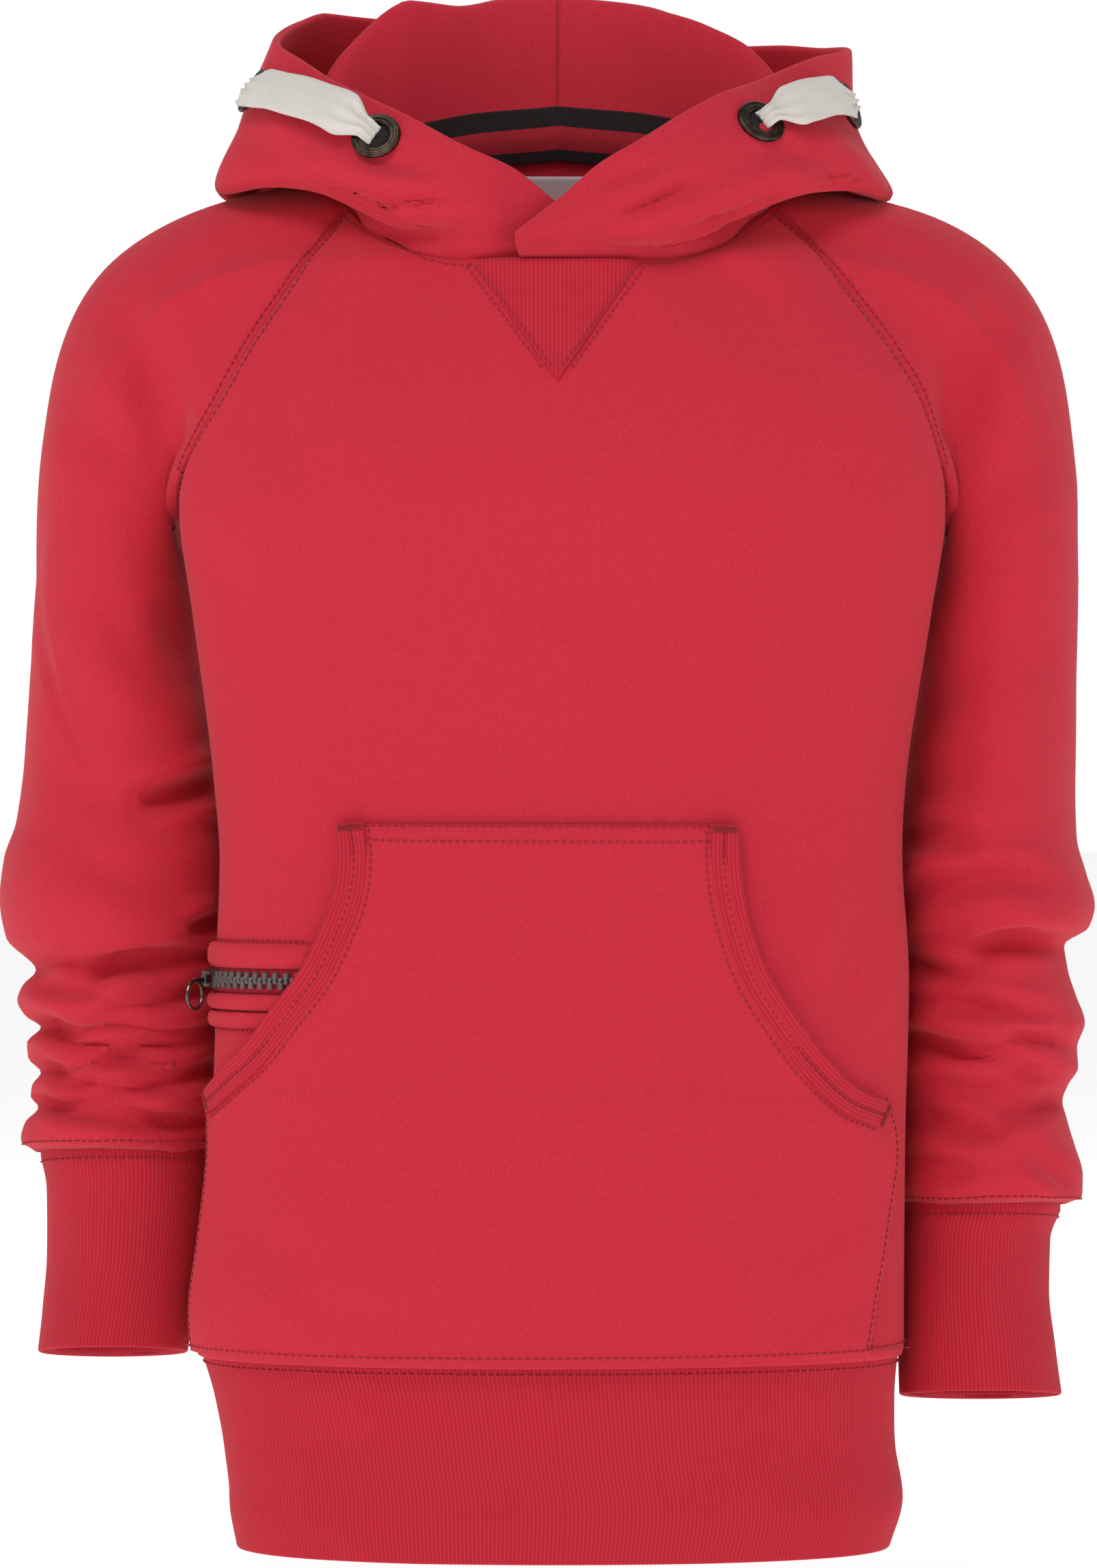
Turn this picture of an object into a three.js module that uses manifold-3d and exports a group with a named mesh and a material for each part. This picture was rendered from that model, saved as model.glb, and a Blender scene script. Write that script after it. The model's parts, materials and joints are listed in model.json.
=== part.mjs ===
// A child's hooded sweatshirt, filled out as it is when worn. Sizes are in millimetres.
// X runs to the viewer's right, Y runs to the back, Z is up.
// The origin is the middle of the neck, at the height of the shoulders, where the wearer holds it up.

import * as THREE from 'three';
import { mergeVertices } from 'three/addons/utils/BufferGeometryUtils.js';
import Module from 'manifold-3d';

const wasm = await Module();
wasm.setup();

// Cloth and seams
const CLOTH = 2;
const HOOD_CLOTH = 1.7;
const RIB_CLOTH = 2.2;
const SEAM_GAP = 0.3;
const HOOD_SEAM_GAP = 0.6;
const LAYER_GAP = 0.4;

// Heights of the main seams
const HEM_SEAM_Z = -449;
const UNDERARM_Z = -115;

// Where the side seams lie round the body, in degrees from the middle of the front
const SIDE_SEAM_ANGLE = 94;
const SIDE_SEAM_RADIUS = 110;

// How full the body's outline is: 2 is an ellipse, more is squarer
const BODY_FULLNESS = 2.3;

// How many faces the larger pieces have across and along
const PANEL_COLUMNS = 18;
const PANEL_ROWS = 8;
const YOKE_ROWS = 8;
const NECK_COLUMNS = 4;
const SHOULDER_ROWS = 8;
const RIB_COLUMNS = 36;
const ARM_ROW_MAX = 18;

// How the yoke bends: how soon its rows turn from the straight underarm to the neck seam,
// how close to each raglan seam they follow it, and how late they leave the rings' own surface
const YOKE_TURN = 2;
const YOKE_FOLLOW = 3;
const YOKE_LEAVE = 4;

// How a sleeve leaves its seams: how far each column reaches on before it turns down, as a share
// of its length, over the shoulder and beside the seams, and how it arrives in the arm
const SHOULDER_REACH = 1.6;
const SEAM_REACH = 0.8;
const ARM_REACH = 1.68;
const SHOULDER_FALL = { front: 0.02, back: 0.26 };
const ARMPIT_FALL = 0.5;
const ARMPIT_COLUMNS = 3;
const SHOULDER_COLUMNS = 5;

// The seam's width between a sleeve and the body, at the armpit and along the rest,
// and how many degrees of the arm hang from the short neck edge on either side
const ARMPIT_GAP = 1.3;
const SLEEVE_GAP = 0.9;
const NECK_SPREAD = 38;

const RED = { color: 0xd22e40, roughness: 0.9, metalness: 0 };
const DEEP_RED = { color: 0xb8273a, roughness: 0.95, metalness: 0 };
const OFF_WHITE = { color: 0xece4dc, roughness: 0.95, metalness: 0 };
const BLACK = { color: 0x28201f, roughness: 0.9, metalness: 0 };
const BRONZE = { color: 0x3c342d, roughness: 0.45, metalness: 1 };
const GUNMETAL = { color: 0x5a504e, roughness: 0.4, metalness: 1 };

function table(columns, rows) {
  return rows.map((row) => Object.fromEntries(columns.map((name, i) => [name, row[i]])));
}

// The body's rings from the hem seam to the underarm: middle and half width in X,
// the foremost and the rearmost Y, and the Y at which the ring is widest
const BODY = table(['z', 'middle', 'half', 'front', 'back', 'widest'], [
  [-449, -3.3, 141.5, -90, 76, -22],
  [-428, -4.5, 142.5, -93, 79, -22],
  [-400, -2.5, 140.5, -95, 80, -23],
  [-346, 0.5, 138, -95, 78, -24],
  [-300, 1.5, 138, -94, 76, -25],
  [-250, 1, 136, -92, 75, -25],
  [-223, 0.6, 137.6, -91, 76, -25],
  [-154, 1.4, 147, -91, 82, -24],
  [-115, 1.5, 152.5, -91, 86, -22],
]);

// The rings above the underarm, as the front and the back would run on if they had no sleeves
const YOKE = {
  front: table(['z', 'middle', 'half', 'front', 'back', 'widest'], [
    [-95, 1.5, 153, -89.5, 86, -21],
    [-70, 1.5, 150, -85, 86, -19],
    [-48, 1.5, 143, -78.5, 86, -16],
    [-26, 1.5, 131, -70.5, 86, -10],
    [-15, 1, 123, -66, 86, -7],
    [-7.5, 1, 117, -52, 86, -5],
    [8, 1, 106, -31, 86, 0],
  ]),
  back: table(['z', 'middle', 'half', 'front', 'back', 'widest'], [
    [-76, 1.5, 150, -91, 87, -6],
    [-48, 1.5, 143, -91, 85, 2],
    [-18, 1.5, 126, -91, 80, 4],
    [10, 1.5, 109, -91, 73, 0],
    [33.5, 1.5, 93, -91, 65, -8],
    [45, 1.5, 84, -91, 60, -10],
  ]),
};
const RINGS = { front: [...BODY, ...YOKE.front], back: [...BODY, ...YOKE.back] };

// The ribbed hem's rings
const HEM = table(['z', 'middle', 'half', 'front', 'back', 'widest'], [
  [-449, -3.3, 138.5, -87, 73, -22],
  [-466, -1.5, 135.5, -85, 71, -21],
  [-486, 0.5, 134, -84, 70, -20],
  [-506, 3, 134.5, -84, 70, -20],
  [-526, 2, 130, -82, 68, -20],
]);

// The neck seam, by the angle round the neck from the middle of the front
const NECK = table(['azimuth', 'radius', 'z', 'tilt'], [
  [0, 66, -15, 22],
  [31, 70, -15, 22],
  [45, 75, -12.5, 24],
  [55, 79, -7.5, 28],
  [65, 83, -0.5, 34],
  [76, 86.5, 8, 42],
  [90, 88, 18, 48],
  [105, 86, 27, 45],
  [120, 83, 33.5, 36],
  [150, 67, 42, 26],
  [180, 60, 45, 24],
]);

// Where the raglan seams meet the neck seam
const CORNER = { front: 76, back: 120 };

// The raglan seams between the underarm and the neck, left being the viewer's left
const RAGLAN = {
  left: {
    front: table(['x', 'z'], [[-148, -95], [-134.5, -71], [-121.5, -48], [-107, -26], [-95, -8]]),
    back: table(['x', 'z'], [[-148, -100], [-138, -76], [-124, -48], [-106, -18], [-88, 10]]),
  },
  right: {
    front: table(['x', 'z'], [[152, -93], [144, -69], [131, -48], [114.5, -26], [99, -6]]),
    back: table(['x', 'z'], [[150, -100], [140.5, -76], [126, -48], [107, -18], [89, 10]]),
  },
};

// The arms' rings below the shoulder: outermost and innermost distance from the middle in X,
// foremost and rearmost Y, and how much lower a ring is at the back than at the front.
// The bunched folds over the cuff are the rows that go in and out.
const ARM = {
  left: table(['z', 'outer', 'inner', 'front', 'back', 'drop'], [
    [-139.3, 211.6, 149.5, -32, 74, 0],
    [-180.7, 214.6, 142.5, -33, 74, 0],
    [-215.9, 216.6, 138, -34, 75, 0],
    [-237.1, 219.7, 134.5, -35, 76, 0],
    [-252.3, 224.7, 133.5, -39, 78, 3],
    [-268.4, 226.2, 133, -41, 78, 4],
    [-284.5, 223.7, 133.5, -39, 76, 5],
    [-297.6, 212.1, 136, -31, 68, 6],
    [-303.7, 217.1, 134.5, -36, 70, 6],
    [-309.7, 219.2, 134, -38, 70, 6],
    [-315.8, 216.1, 134.5, -35, 68, 7],
    [-320.8, 209.6, 136.5, -29, 62, 7],
    [-326.9, 215.1, 135, -35, 64, 7],
    [-332.9, 214.6, 135, -35, 63, 8],
    [-339, 209.6, 137, -29, 58, 8],
    [-344, 213.1, 136, -33, 59, 8],
    [-348.6, 213.6, 136, -33, 58, 8],
    [-353.1, 210.6, 137.5, -29, 55, 8],
    [-359.2, 215.6, 136.5, -35, 56, 8],
    [-366.2, 217.1, 136.5, -36, 55, 8],
    [-372.3, 214.1, 137.5, -34, 52, 8],
  ]),
  right: table(['z', 'outer', 'inner', 'front', 'back', 'drop'], [
    [-139.3, 210.6, 151.5, -32, 74, 0],
    [-180.7, 209.6, 144.5, -33, 74, 0],
    [-215.9, 209.6, 139.5, -34, 75, 0],
    [-243.2, 210.6, 136, -35, 76, 0],
    [-258.3, 214.1, 135, -39, 77, 3],
    [-271.4, 217.5, 134.5, -41, 78, 4],
    [-280.5, 215.1, 135, -39, 76, 4],
    [-287.6, 205.5, 136.5, -31, 70, 5],
    [-296.6, 206.5, 135.5, -34, 70, 5],
    [-307.7, 209.6, 135, -37, 70, 6],
    [-318.8, 213.1, 135, -38, 69, 6],
    [-328.9, 210.1, 136, -32, 64, 7],
    [-337, 210.6, 135.5, -35, 64, 7],
    [-344, 206.5, 136.5, -31, 60, 7],
    [-351.1, 204.5, 136.5, -29, 58, 7],
    [-358.1, 206, 135.5, -34, 59, 7],
    [-369.2, 209.1, 135, -37, 58, 8],
    [-381.3, 212.1, 135, -38, 57, 8],
    [-389.4, 212.1, 135.5, -37, 55, 8],
    [-394.5, 208.1, 137, -34, 52, 8],
  ]),
};

// The rib cuffs' rings
const CUFF = {
  left: table(['z', 'outer', 'inner', 'front', 'back', 'drop'], [
    [-372.3, 209.1, 139.8, -30, 47, 8],
    [-385.4, 206.5, 141, -30, 43, 8.5],
    [-411.6, 206, 142.8, -33, 35, 9],
    [-433.8, 207.6, 146.8, -37, 31, 10],
    [-450.2, 209.6, 149.3, -40, 29, 10.5],
  ]),
  right: table(['z', 'outer', 'inner', 'front', 'back', 'drop'], [
    [-394.5, 203, 138.8, -30, 46, 8],
    [-405.5, 198.5, 137.8, -30, 42, 8.5],
    [-425.7, 197.5, 137.2, -33, 35, 9],
    [-447.9, 200, 137, -37, 31, 10],
    [-467.4, 202, 137.2, -40, 29, 10.5],
  ]),
};

// The hood, lying down behind the neck. Each row is a section that stands on the neck seam, by its
// angle from the middle of the front, and each pair of columns is a radius and a height:
// the fold that stands up round the neck, the way down into the hood, the lowest or outermost
// fold, the band below the face edge, and the face edge.
const HOOD_COLUMNS = [
  'azimuth', 'foldR', 'foldZ', 'wayR', 'wayZ', 'bagR', 'bagZ', 'bandR', 'bandZ', 'rimR', 'rimZ',
];
const HOOD = {
  left: table(HOOD_COLUMNS, [
    [-14, 67, -13.4, 67.4, -12.4, 67.6, -11.4, 67.6, -10.2, 67.4, -9],
    [0, 67.5, -11.5, 68.3, -8.5, 69, -5, 69.3, -1, 69, 3.5],
    [15, 69.5, -10, 71.5, -6, 73, 0, 73, 8, 71, 17],
    [29, 72.5, -8.5, 77, -4, 80, 3, 79.5, 14, 76, 26],
    [47, 78, -4, 85, -1, 91, 7, 89, 22, 81, 39],
    [62, 85, 5, 95, 9, 107, 18, 103, 34, 87, 48.5],
    [76, 90, 18, 107, 18, 124, 19, 118, 40, 95, 58],
    [86, 93, 26, 113, 22, 134, 17, 127, 42, 104, 67],
    [96, 96, 42, 112, 32, 138, 19, 127, 46, 115, 76],
    [108, 95, 68, 108, 43, 141, 18, 134, 50, 119, 84],
    [119, 90, 85, 104, 44, 143, 10, 138, 49, 122, 91],
    [128, 78, 98, 103, 32, 139, -13, 138, 42, 121, 96],
    [143, 71, 97, 100, 20, 126, -36, 134, 36, 119, 96],
    [160, 71, 101, 98, 2, 116, -50, 130, 26, 114, 88],
    [180, 72, 103, 97, -4, 112, -56, 128, 20, 112, 81],
  ]),
  right: table(HOOD_COLUMNS, [
    [-13, 70.5, -12.4, 72.5, -12, 74, -10.8, 74.6, -9.6, 75, -8.2],
    [0, 71, -10.6, 74, -7.4, 76, -4, 76.5, 0, 75.5, 4.5],
    [12, 71, -9.6, 75, -6, 77.5, -1, 77, 8, 74, 18],
    [24, 72, -10, 77, -9, 81, -5, 80, 13, 75.5, 27.5],
    [41, 76, -6, 82, -6, 88, 1, 86, 22, 78, 41],
    [55, 82, 1, 89, 2, 98, 11, 94, 30, 80, 49.5],
    [68, 88, 12, 99, 13, 114, 17, 104, 36, 84, 55],
    [77, 91, 20, 106, 18, 124, 17, 110, 40, 89, 60],
    [90, 95, 30, 112, 24, 131, 15, 117, 42, 104, 69],
    [99, 95, 46, 111, 34, 136, 18, 121, 43, 117, 73.5],
    [108, 92, 64, 107, 42, 141, 18, 127, 47, 123, 77.5],
    [119, 86, 80, 103, 44, 142, 10, 133, 46, 124, 80],
    [130, 76, 89, 102, 30, 138, -13, 135, 40, 119, 83],
    [143, 71, 95, 100, 18, 126, -36, 132, 34, 115, 84],
    [160, 71, 100, 98, 1, 116, -50, 130, 26, 114, 83],
    [180, 72, 103, 97, -4, 112, -56, 128, 20, 112, 81],
  ]),
};
const HOOD_SECTIONS = 19;
const HOOD_STEPS = [0, 0.5, 1, 1.5, 2, 2.6, 3, 3.4, 4, 4.5, 5];
const HOOD_BACK_AZIMUTH = 179.85;
const HOOD_POINTS = ['fold', 'way', 'bag', 'band', 'rim'];
const NORMAL_STEP = 0.06;
const NORMAL_DEGREES = 1.5;

// The left side of the hood passes behind the right side at the front
const CROSSING_STEP = 5;
const CROSSING_START = 26;
const CROSSING_END = 13;

// The kangaroo pocket's two edges from the top to the hem, X and Z on the front
const POCKET = table(['leftX', 'leftZ', 'rightX', 'rightZ'], [
  [-85, -237.5, 69, -238],
  [-83.5, -251, 68.7, -252],
  [-85, -265, 70, -265],
  [-90, -279, 73.5, -280],
  [-97, -294, 79, -295],
  [-107, -308, 88, -310],
  [-119, -325, 101, -328],
  [-131, -338, 114, -341],
  [-136, -346, 128, -349],
  [-136, -368, 131.5, -366],
  [-139, -395, 128.5, -392],
  [-143, -422, 124.5, -420],
  [-143, -446, 120, -446],
]);
const POCKET_COLUMNS = 20;
const POCKET_ROWS = 12;
const POCKET_GAP = 1.2;
const POCKET_MOUTH = 0.655;
const BINDING_EDGE = -0.8;
const BINDING_WIDTH = 10.5;
const BINDING_CLOTH = 1.4;
const BINDING_ROWS = 12;
const BINDING_COLUMNS = 2;
const CURVE_STEP = 0.01;

// The gusset in the front neck: its two corners on the neck seam, and its point
const GUSSET = {
  leftX: -34.8, rightX: 32.6, tipX: -0.5, tipZ: -65, drop: 2, blunt: 0.985, cloth: 1.2,
  rows: 7, columns: 6,
};
const SEARCH_STEPS = 30;

// The zip pocket on the wearer's right side: the woven tape, the two rows of teeth, and the welts
const ZIP = {
  z: -299, startAngle: -91, endX: -105, tapeHeight: 9, tapeCloth: 0.6, teethHeight: 6.6, teeth: 1.6,
  columns: 8,
};
const WELT = { columns: 6, rows: 4, edge: 0.45 };
const WELTS = table(['name', 'middleZ', 'height', 'endX', 'proud'], [
  ['zip_welt_upper', -289.4, 10, -98, 2.8],
  ['zip_welt_lower', -307.6, 6.4, -111, 2.6],
  ['zip_welt_lowest', -314.8, 6.4, -116.5, 2.2],
]);

// The zip's slider, whose lugs hold an upright pin, and the ring pull that turns on the pin
const SLIDER = { angle: -80, thickness: 2.2, length: 9, height: 7.4, lugRadius: 1.5, lugHeight: 1.2 };
const PIN = { radius: 0.7, reach: 4.2, segments: 12 };
const PULL = {
  turn: 47, barrelRadius: 1.6, hole: 1, barrelHeight: 3, ringX: 7.6, ringZ: -6.2, ring: 5.7, wire: 0.8,
  segments: 16, ringSegments: 20, wireSegments: 8,
};

// The eyelets, and where they sit on the hood: the angle of their section and the step along it
const EYELET = { outer: 10, inner: 5.6, thickness: 1.3, bevel: 0.7, segments: 16 };
const EYELETS = {
  left: table(['azimuth', 'step', 'lift'], [[52, 4.33, 0.9], [91.5, 4.42, 0.9]]),
  right: table(['azimuth', 'step', 'lift'], [[58.5, 4.3, 0.35], [92.5, 4.3, 0.9]]),
};

// The flat tape between two eyelets: narrow where it goes through them
const TAPE = {
  width: 17, endWidth: 8, cloth: 1.3, endLift: 0.8, eyeletLift: 3.8, middleLift: 5,
  overEyelet: 4.4, widenFrom: 5, widenTo: 15, fullLift: 20,
};
const TAPE_ENDS = [0, 2.2, 4.6, 8, 13, 20, 28];

// The tape that covers the back neck seam, and the blank label below it
const NECK_TAPE = { azimuth: 128, gap: 0.8, heights: [-9, -4, 0, 5, 11], cloth: 1, columns: 14 };
const LABEL = { halfWidth: 30, topZ: 30, bottomZ: -15, cloth: 0.6, columns: 6, rows: 3 };

const SIDES = { left: -1, right: 1 };
const radians = THREE.MathUtils.degToRad;
const up = new THREE.Vector3(0, 0, 1);

// A smooth curve through one column of a table, with no overshoot between its rows
function read(rows, key, name, at) {
  const last = rows.length - 1;
  const rising = rows[last][key] > rows[0][key];
  let i = 0;
  while (i < last - 1 && (rising ? rows[i + 1][key] <= at : rows[i + 1][key] >= at)) {
    i += 1;
  }
  const step = (k) => rows[k + 1][key] - rows[k][key];
  const slope = (k) => (rows[k + 1][name] - rows[k][name]) / step(k);
  const bend = (k) => {
    if (k === 0) {
      return slope(0);
    }
    if (k === last) {
      return slope(last - 1);
    }
    const before = slope(k - 1);
    const after = slope(k);
    return before * after <= 0 ? 0 : (2 * before * after) / (before + after);
  };
  const h = step(i);
  const t = THREE.MathUtils.clamp((at - rows[i][key]) / h, 0, 1);
  return hermite(rows[i][name], bend(i) * h, rows[i + 1][name], bend(i + 1) * h, t);
}

function hermite(a, leaving, b, arriving, t) {
  const t2 = t * t;
  const t3 = t2 * t;
  return (
    (2 * t3 - 3 * t2 + 1) * a + (t3 - 2 * t2 + t) * leaving +
    (3 * t2 - 2 * t3) * b + (t3 - t2) * arriving
  );
}

function hermitePoint(a, leaving, b, arriving, t) {
  return new THREE.Vector3(
    hermite(a.x, leaving.x, b.x, arriving.x, t),
    hermite(a.y, leaving.y, b.y, arriving.y, t),
    hermite(a.z, leaving.z, b.z, arriving.z, t),
  );
}

const range = (count) => Array.from({ length: count }, (_, i) => i);
const mix = THREE.MathUtils.lerp;
const smooth = THREE.MathUtils.smoothstep;

// Normals of a grid of points, from the neighbours of each point. Columns may close on themselves.
function gridNormals(grid, closed) {
  const rows = grid.length;
  const columns = grid[0].length;
  return grid.map((row, i) => row.map((_, j) => {
    const below = grid[Math.max(i - 1, 0)][j];
    const above = grid[Math.min(i + 1, rows - 1)][j];
    const before = closed ? row[(j + columns - 1) % columns] : row[Math.max(j - 1, 0)];
    const after = closed ? row[(j + 1) % columns] : row[Math.min(j + 1, columns - 1)];
    const along = above.clone().sub(below);
    const across = after.clone().sub(before);
    return across.cross(along).normalize();
  }));
}

// A closed wall between two grids of points of the same size
function wallBetween(outer, inner, closed) {
  const rows = outer.length;
  const columns = outer[0].length;
  const position = [...outer.flat(), ...inner.flat()].flatMap((p) => [p.x, p.y, p.z]);
  const index = [];
  const at = (side, i, j) => side * rows * columns + i * columns + (j % columns);
  const quad = (a, b, c, d) => index.push(a, b, c, a, c, d);
  const spans = closed ? columns : columns - 1;
  for (let i = 0; i < rows - 1; i += 1) {
    for (let j = 0; j < spans; j += 1) {
      quad(at(0, i, j), at(0, i, j + 1), at(0, i + 1, j + 1), at(0, i + 1, j));
      quad(at(1, i, j), at(1, i + 1, j), at(1, i + 1, j + 1), at(1, i, j + 1));
    }
  }
  for (let j = 0; j < spans; j += 1) {
    quad(at(0, 0, j), at(1, 0, j), at(1, 0, j + 1), at(0, 0, j + 1));
    const top = rows - 1;
    quad(at(0, top, j), at(0, top, j + 1), at(1, top, j + 1), at(1, top, j));
  }
  if (!closed) {
    for (let i = 0; i < rows - 1; i += 1) {
      quad(at(0, i, 0), at(0, i + 1, 0), at(1, i + 1, 0), at(1, i, 0));
      const end = columns - 1;
      quad(at(0, i, end), at(1, i, end), at(1, i + 1, end), at(0, i + 1, end));
    }
  }
  return facingOut(position, index);
}

// A geometry whose faces point out, whichever way its grid ran
function facingOut(position, index) {
  const corner = (k) => new THREE.Vector3().fromArray(position, 3 * index[k]);
  let volume = 0;
  for (let k = 0; k < index.length; k += 3) {
    volume += corner(k).dot(corner(k + 1).cross(corner(k + 2)));
  }
  if (volume < 0) {
    index.reverse();
  }
  const geometry = new THREE.BufferGeometry();
  geometry.setAttribute('position', new THREE.Float32BufferAttribute(position, 3));
  geometry.setIndex(index);
  return geometry;
}

// A wall that lies between two distances from a grid, along its normals
function wall(grid, normals, outside, inside, closed = false) {
  const moved = (distance) => grid.map((row, i) => row.map((p, j) => (
    p.clone().addScaledVector(normals[i][j], distance)
  )));
  return wallBetween(moved(outside), moved(inside), closed);
}

const garment = new THREE.Group();

function add(name, geometry, look, parent = garment) {
  const mesh = new THREE.Mesh(geometry, new THREE.MeshStandardMaterial(look));
  mesh.name = name;
  parent.add(mesh);
  return mesh;
}

// A point of a body ring, by its angle from the middle of the front, lifted off along the normal
function ringPoint(rings, angle, z) {
  const value = (name) => read(rings, 'z', name, z);
  const turn = radians(angle);
  const bulge = (v) => Math.sign(v) * Math.abs(v) ** (2 / BODY_FULLNESS);
  const widest = value('widest');
  const depth = Math.cos(turn) > 0 ? widest - value('front') : value('back') - widest;
  return new THREE.Vector3(
    value('middle') + value('half') * bulge(Math.sin(turn)),
    widest - depth * bulge(Math.cos(turn)),
    z,
  );
}

function ringNormal(rings, angle, z) {
  const turned = ringPoint(rings, angle + 1, z).sub(ringPoint(rings, angle - 1, z));
  const raised = ringPoint(rings, angle, z + 2).sub(ringPoint(rings, angle, z - 2));
  return turned.cross(raised).normalize();
}

function onBody(angle, z, lift = 0) {
  return ringPoint(BODY, angle, z).addScaledVector(ringNormal(BODY, angle, z), lift);
}

// The angle, from the middle of its own face, at which a panel has a given X
function angleAt(rings, x, z) {
  const share = (x - read(rings, 'z', 'middle', z)) / read(rings, 'z', 'half', z);
  const full = Math.min(Math.abs(share), 1) ** (BODY_FULLNESS / 2);
  return Math.sign(share) * THREE.MathUtils.radToDeg(Math.asin(full));
}

// The neck seam's point and the way its edges are cut, on either side
function outward(side, azimuth) {
  const turn = radians(azimuth);
  return new THREE.Vector3(side * Math.sin(turn), -Math.cos(turn), 0);
}

function neckPoint(side, azimuth) {
  const a = Math.abs(azimuth);
  const point = outward(side, azimuth).multiplyScalar(read(NECK, 'azimuth', 'radius', a));
  point.z = read(NECK, 'azimuth', 'z', a);
  return point;
}

function neckNormal(side, azimuth) {
  const tilt = radians(read(NECK, 'azimuth', 'tilt', Math.abs(azimuth)));
  return outward(side, azimuth).multiplyScalar(Math.cos(tilt)).addScaledVector(up, Math.sin(tilt));
}

function neckRise(side, azimuth) {
  const tilt = radians(read(NECK, 'azimuth', 'tilt', Math.abs(azimuth)));
  return outward(side, azimuth).multiplyScalar(-Math.sin(tilt)).addScaledVector(up, Math.cos(tilt));
}

// The panels' outermost angles at the underarm and below, each from the middle of its own face
const HALF_GAP = THREE.MathUtils.radToDeg(SEAM_GAP / 2 / SIDE_SEAM_RADIUS);
const EDGE = { front: SIDE_SEAM_ANGLE - HALF_GAP, back: 180 - SIDE_SEAM_ANGLE - HALF_GAP };

function facePoint(face, angle, z) {
  return ringPoint(RINGS[face], face === 'front' ? angle : 180 - angle, z);
}

function faceNormal(face, angle, z) {
  return ringNormal(RINGS[face], face === 'front' ? angle : 180 - angle, z);
}

// A raglan seam as a smooth curve of angles and heights, from the underarm to the neck
function raglanCurve(sideName, face) {
  const side = SIDES[sideName];
  const corner = neckPoint(side, CORNER[face]);
  const rows = [...RAGLAN[sideName][face], corner];
  const points = rows.map((row) => new THREE.Vector3(angleAt(RINGS[face], row.x, row.z), row.z, 0));
  points.unshift(new THREE.Vector3(side * EDGE[face], UNDERARM_Z, 0));
  return new THREE.CatmullRomCurve3(points, false, 'centripetal');
}

const SEAMS = {
  front: { left: raglanCurve('left', 'front'), right: raglanCurve('right', 'front') },
  back: { left: raglanCurve('left', 'back'), right: raglanCurve('right', 'back') },
};

// A point of the yoke: u runs from the left seam to the right seam, t from the underarm to the neck.
// The rows are spread between the two seams and the neck over the rings' own surface.
function yokePoint(face, u, t) {
  const left = SEAMS[face].left.getPointAt(t);
  const right = SEAMS[face].right.getPointAt(t);
  const share = 2 * u - 1;
  const side = share < 0 ? -1 : 1;
  const azimuth = Math.abs(share) * (face === 'front' ? CORNER.front : 180 - CORNER.back);
  const neck = neckPoint(side, face === 'front' ? azimuth : 180 - azimuth);
  const neckAngle = angleAt(RINGS[face], neck.x, neck.z);
  const ends = { left: SEAMS[face].left.getPointAt(1), right: SEAMS[face].right.getPointAt(1) };
  const angle = mix(left.x, right.x, u)
    + t ** YOKE_TURN * (neckAngle - mix(ends.left.x, ends.right.x, u));
  const straight = (end) => mix(UNDERARM_Z, end.y, t);
  const z = mix(UNDERARM_Z, neck.z, t)
    + (1 - u) ** YOKE_FOLLOW * (left.y - straight(ends.left))
    + u ** YOKE_FOLLOW * (right.y - straight(ends.right));
  const missing = neck.sub(facePoint(face, neckAngle, neck.z));
  return facePoint(face, angle, z).addScaledVector(missing, t ** YOKE_LEAVE);
}

// The front or the back: rings up to the underarm, then the yoke up to the neck seam
function bodyPanel(face) {
  const shares = range(PANEL_COLUMNS + 1).map((j) => j / PANEL_COLUMNS);
  const angles = shares.map((u) => (2 * u - 1) * EDGE[face]);
  const grid = [];
  for (let i = 0; i < PANEL_ROWS; i += 1) {
    const z = mix(HEM_SEAM_Z, UNDERARM_Z, i / PANEL_ROWS);
    grid.push(angles.map((a) => facePoint(face, a, z)));
  }
  for (let i = 0; i <= YOKE_ROWS; i += 1) {
    grid.push(shares.map((u) => yokePoint(face, u, i / YOKE_ROWS)));
  }
  const turned = face === 'front' ? 1 : -1;
  const normals = gridNormals(grid, false).map((row) => row.map((n) => n.multiplyScalar(turned)));
  for (let i = 0; i <= PANEL_ROWS; i += 1) {
    const z = mix(HEM_SEAM_Z, UNDERARM_Z, i / PANEL_ROWS);
    normals[i] = angles.map((a) => faceNormal(face, a, z));
  }
  normals[normals.length - 1] = shares.map((u) => {
    const share = 2 * u - 1;
    const azimuth = Math.abs(share) * (face === 'front' ? CORNER.front : 180 - CORNER.back);
    return neckNormal(share < 0 ? -1 : 1, face === 'front' ? azimuth : 180 - azimuth);
  });
  return { grid, normals };
}

const PANELS = { front: bodyPanel('front'), back: bodyPanel('back') };

// The panel's seam edge on one side, with the normals that both pieces share there
function seamEdge(sideName, face) {
  const { grid, normals } = PANELS[face];
  const column = sideName === 'left' ? 0 : PANEL_COLUMNS;
  const rows = range(YOKE_ROWS + 1).map((i) => PANEL_ROWS + i);
  return rows.map((i) => ({ point: grid[i][column], normal: normals[i][column] }));
}

// The front and the back, from the hem seam to the neck seam
function makePanels() {
  for (const face of ['front', 'back']) {
    const { grid, normals } = PANELS[face];
    add(face, wall(grid, normals, 0, -CLOTH), RED);
  }
}

// Normals that point away from the body in the outermost column of the given row
function turnedTo(side, normals, row) {
  const outermost = normals[row][0].x * side;
  return normals.map((line) => line.map((n) => n.multiplyScalar(Math.sign(outermost))));
}

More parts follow.
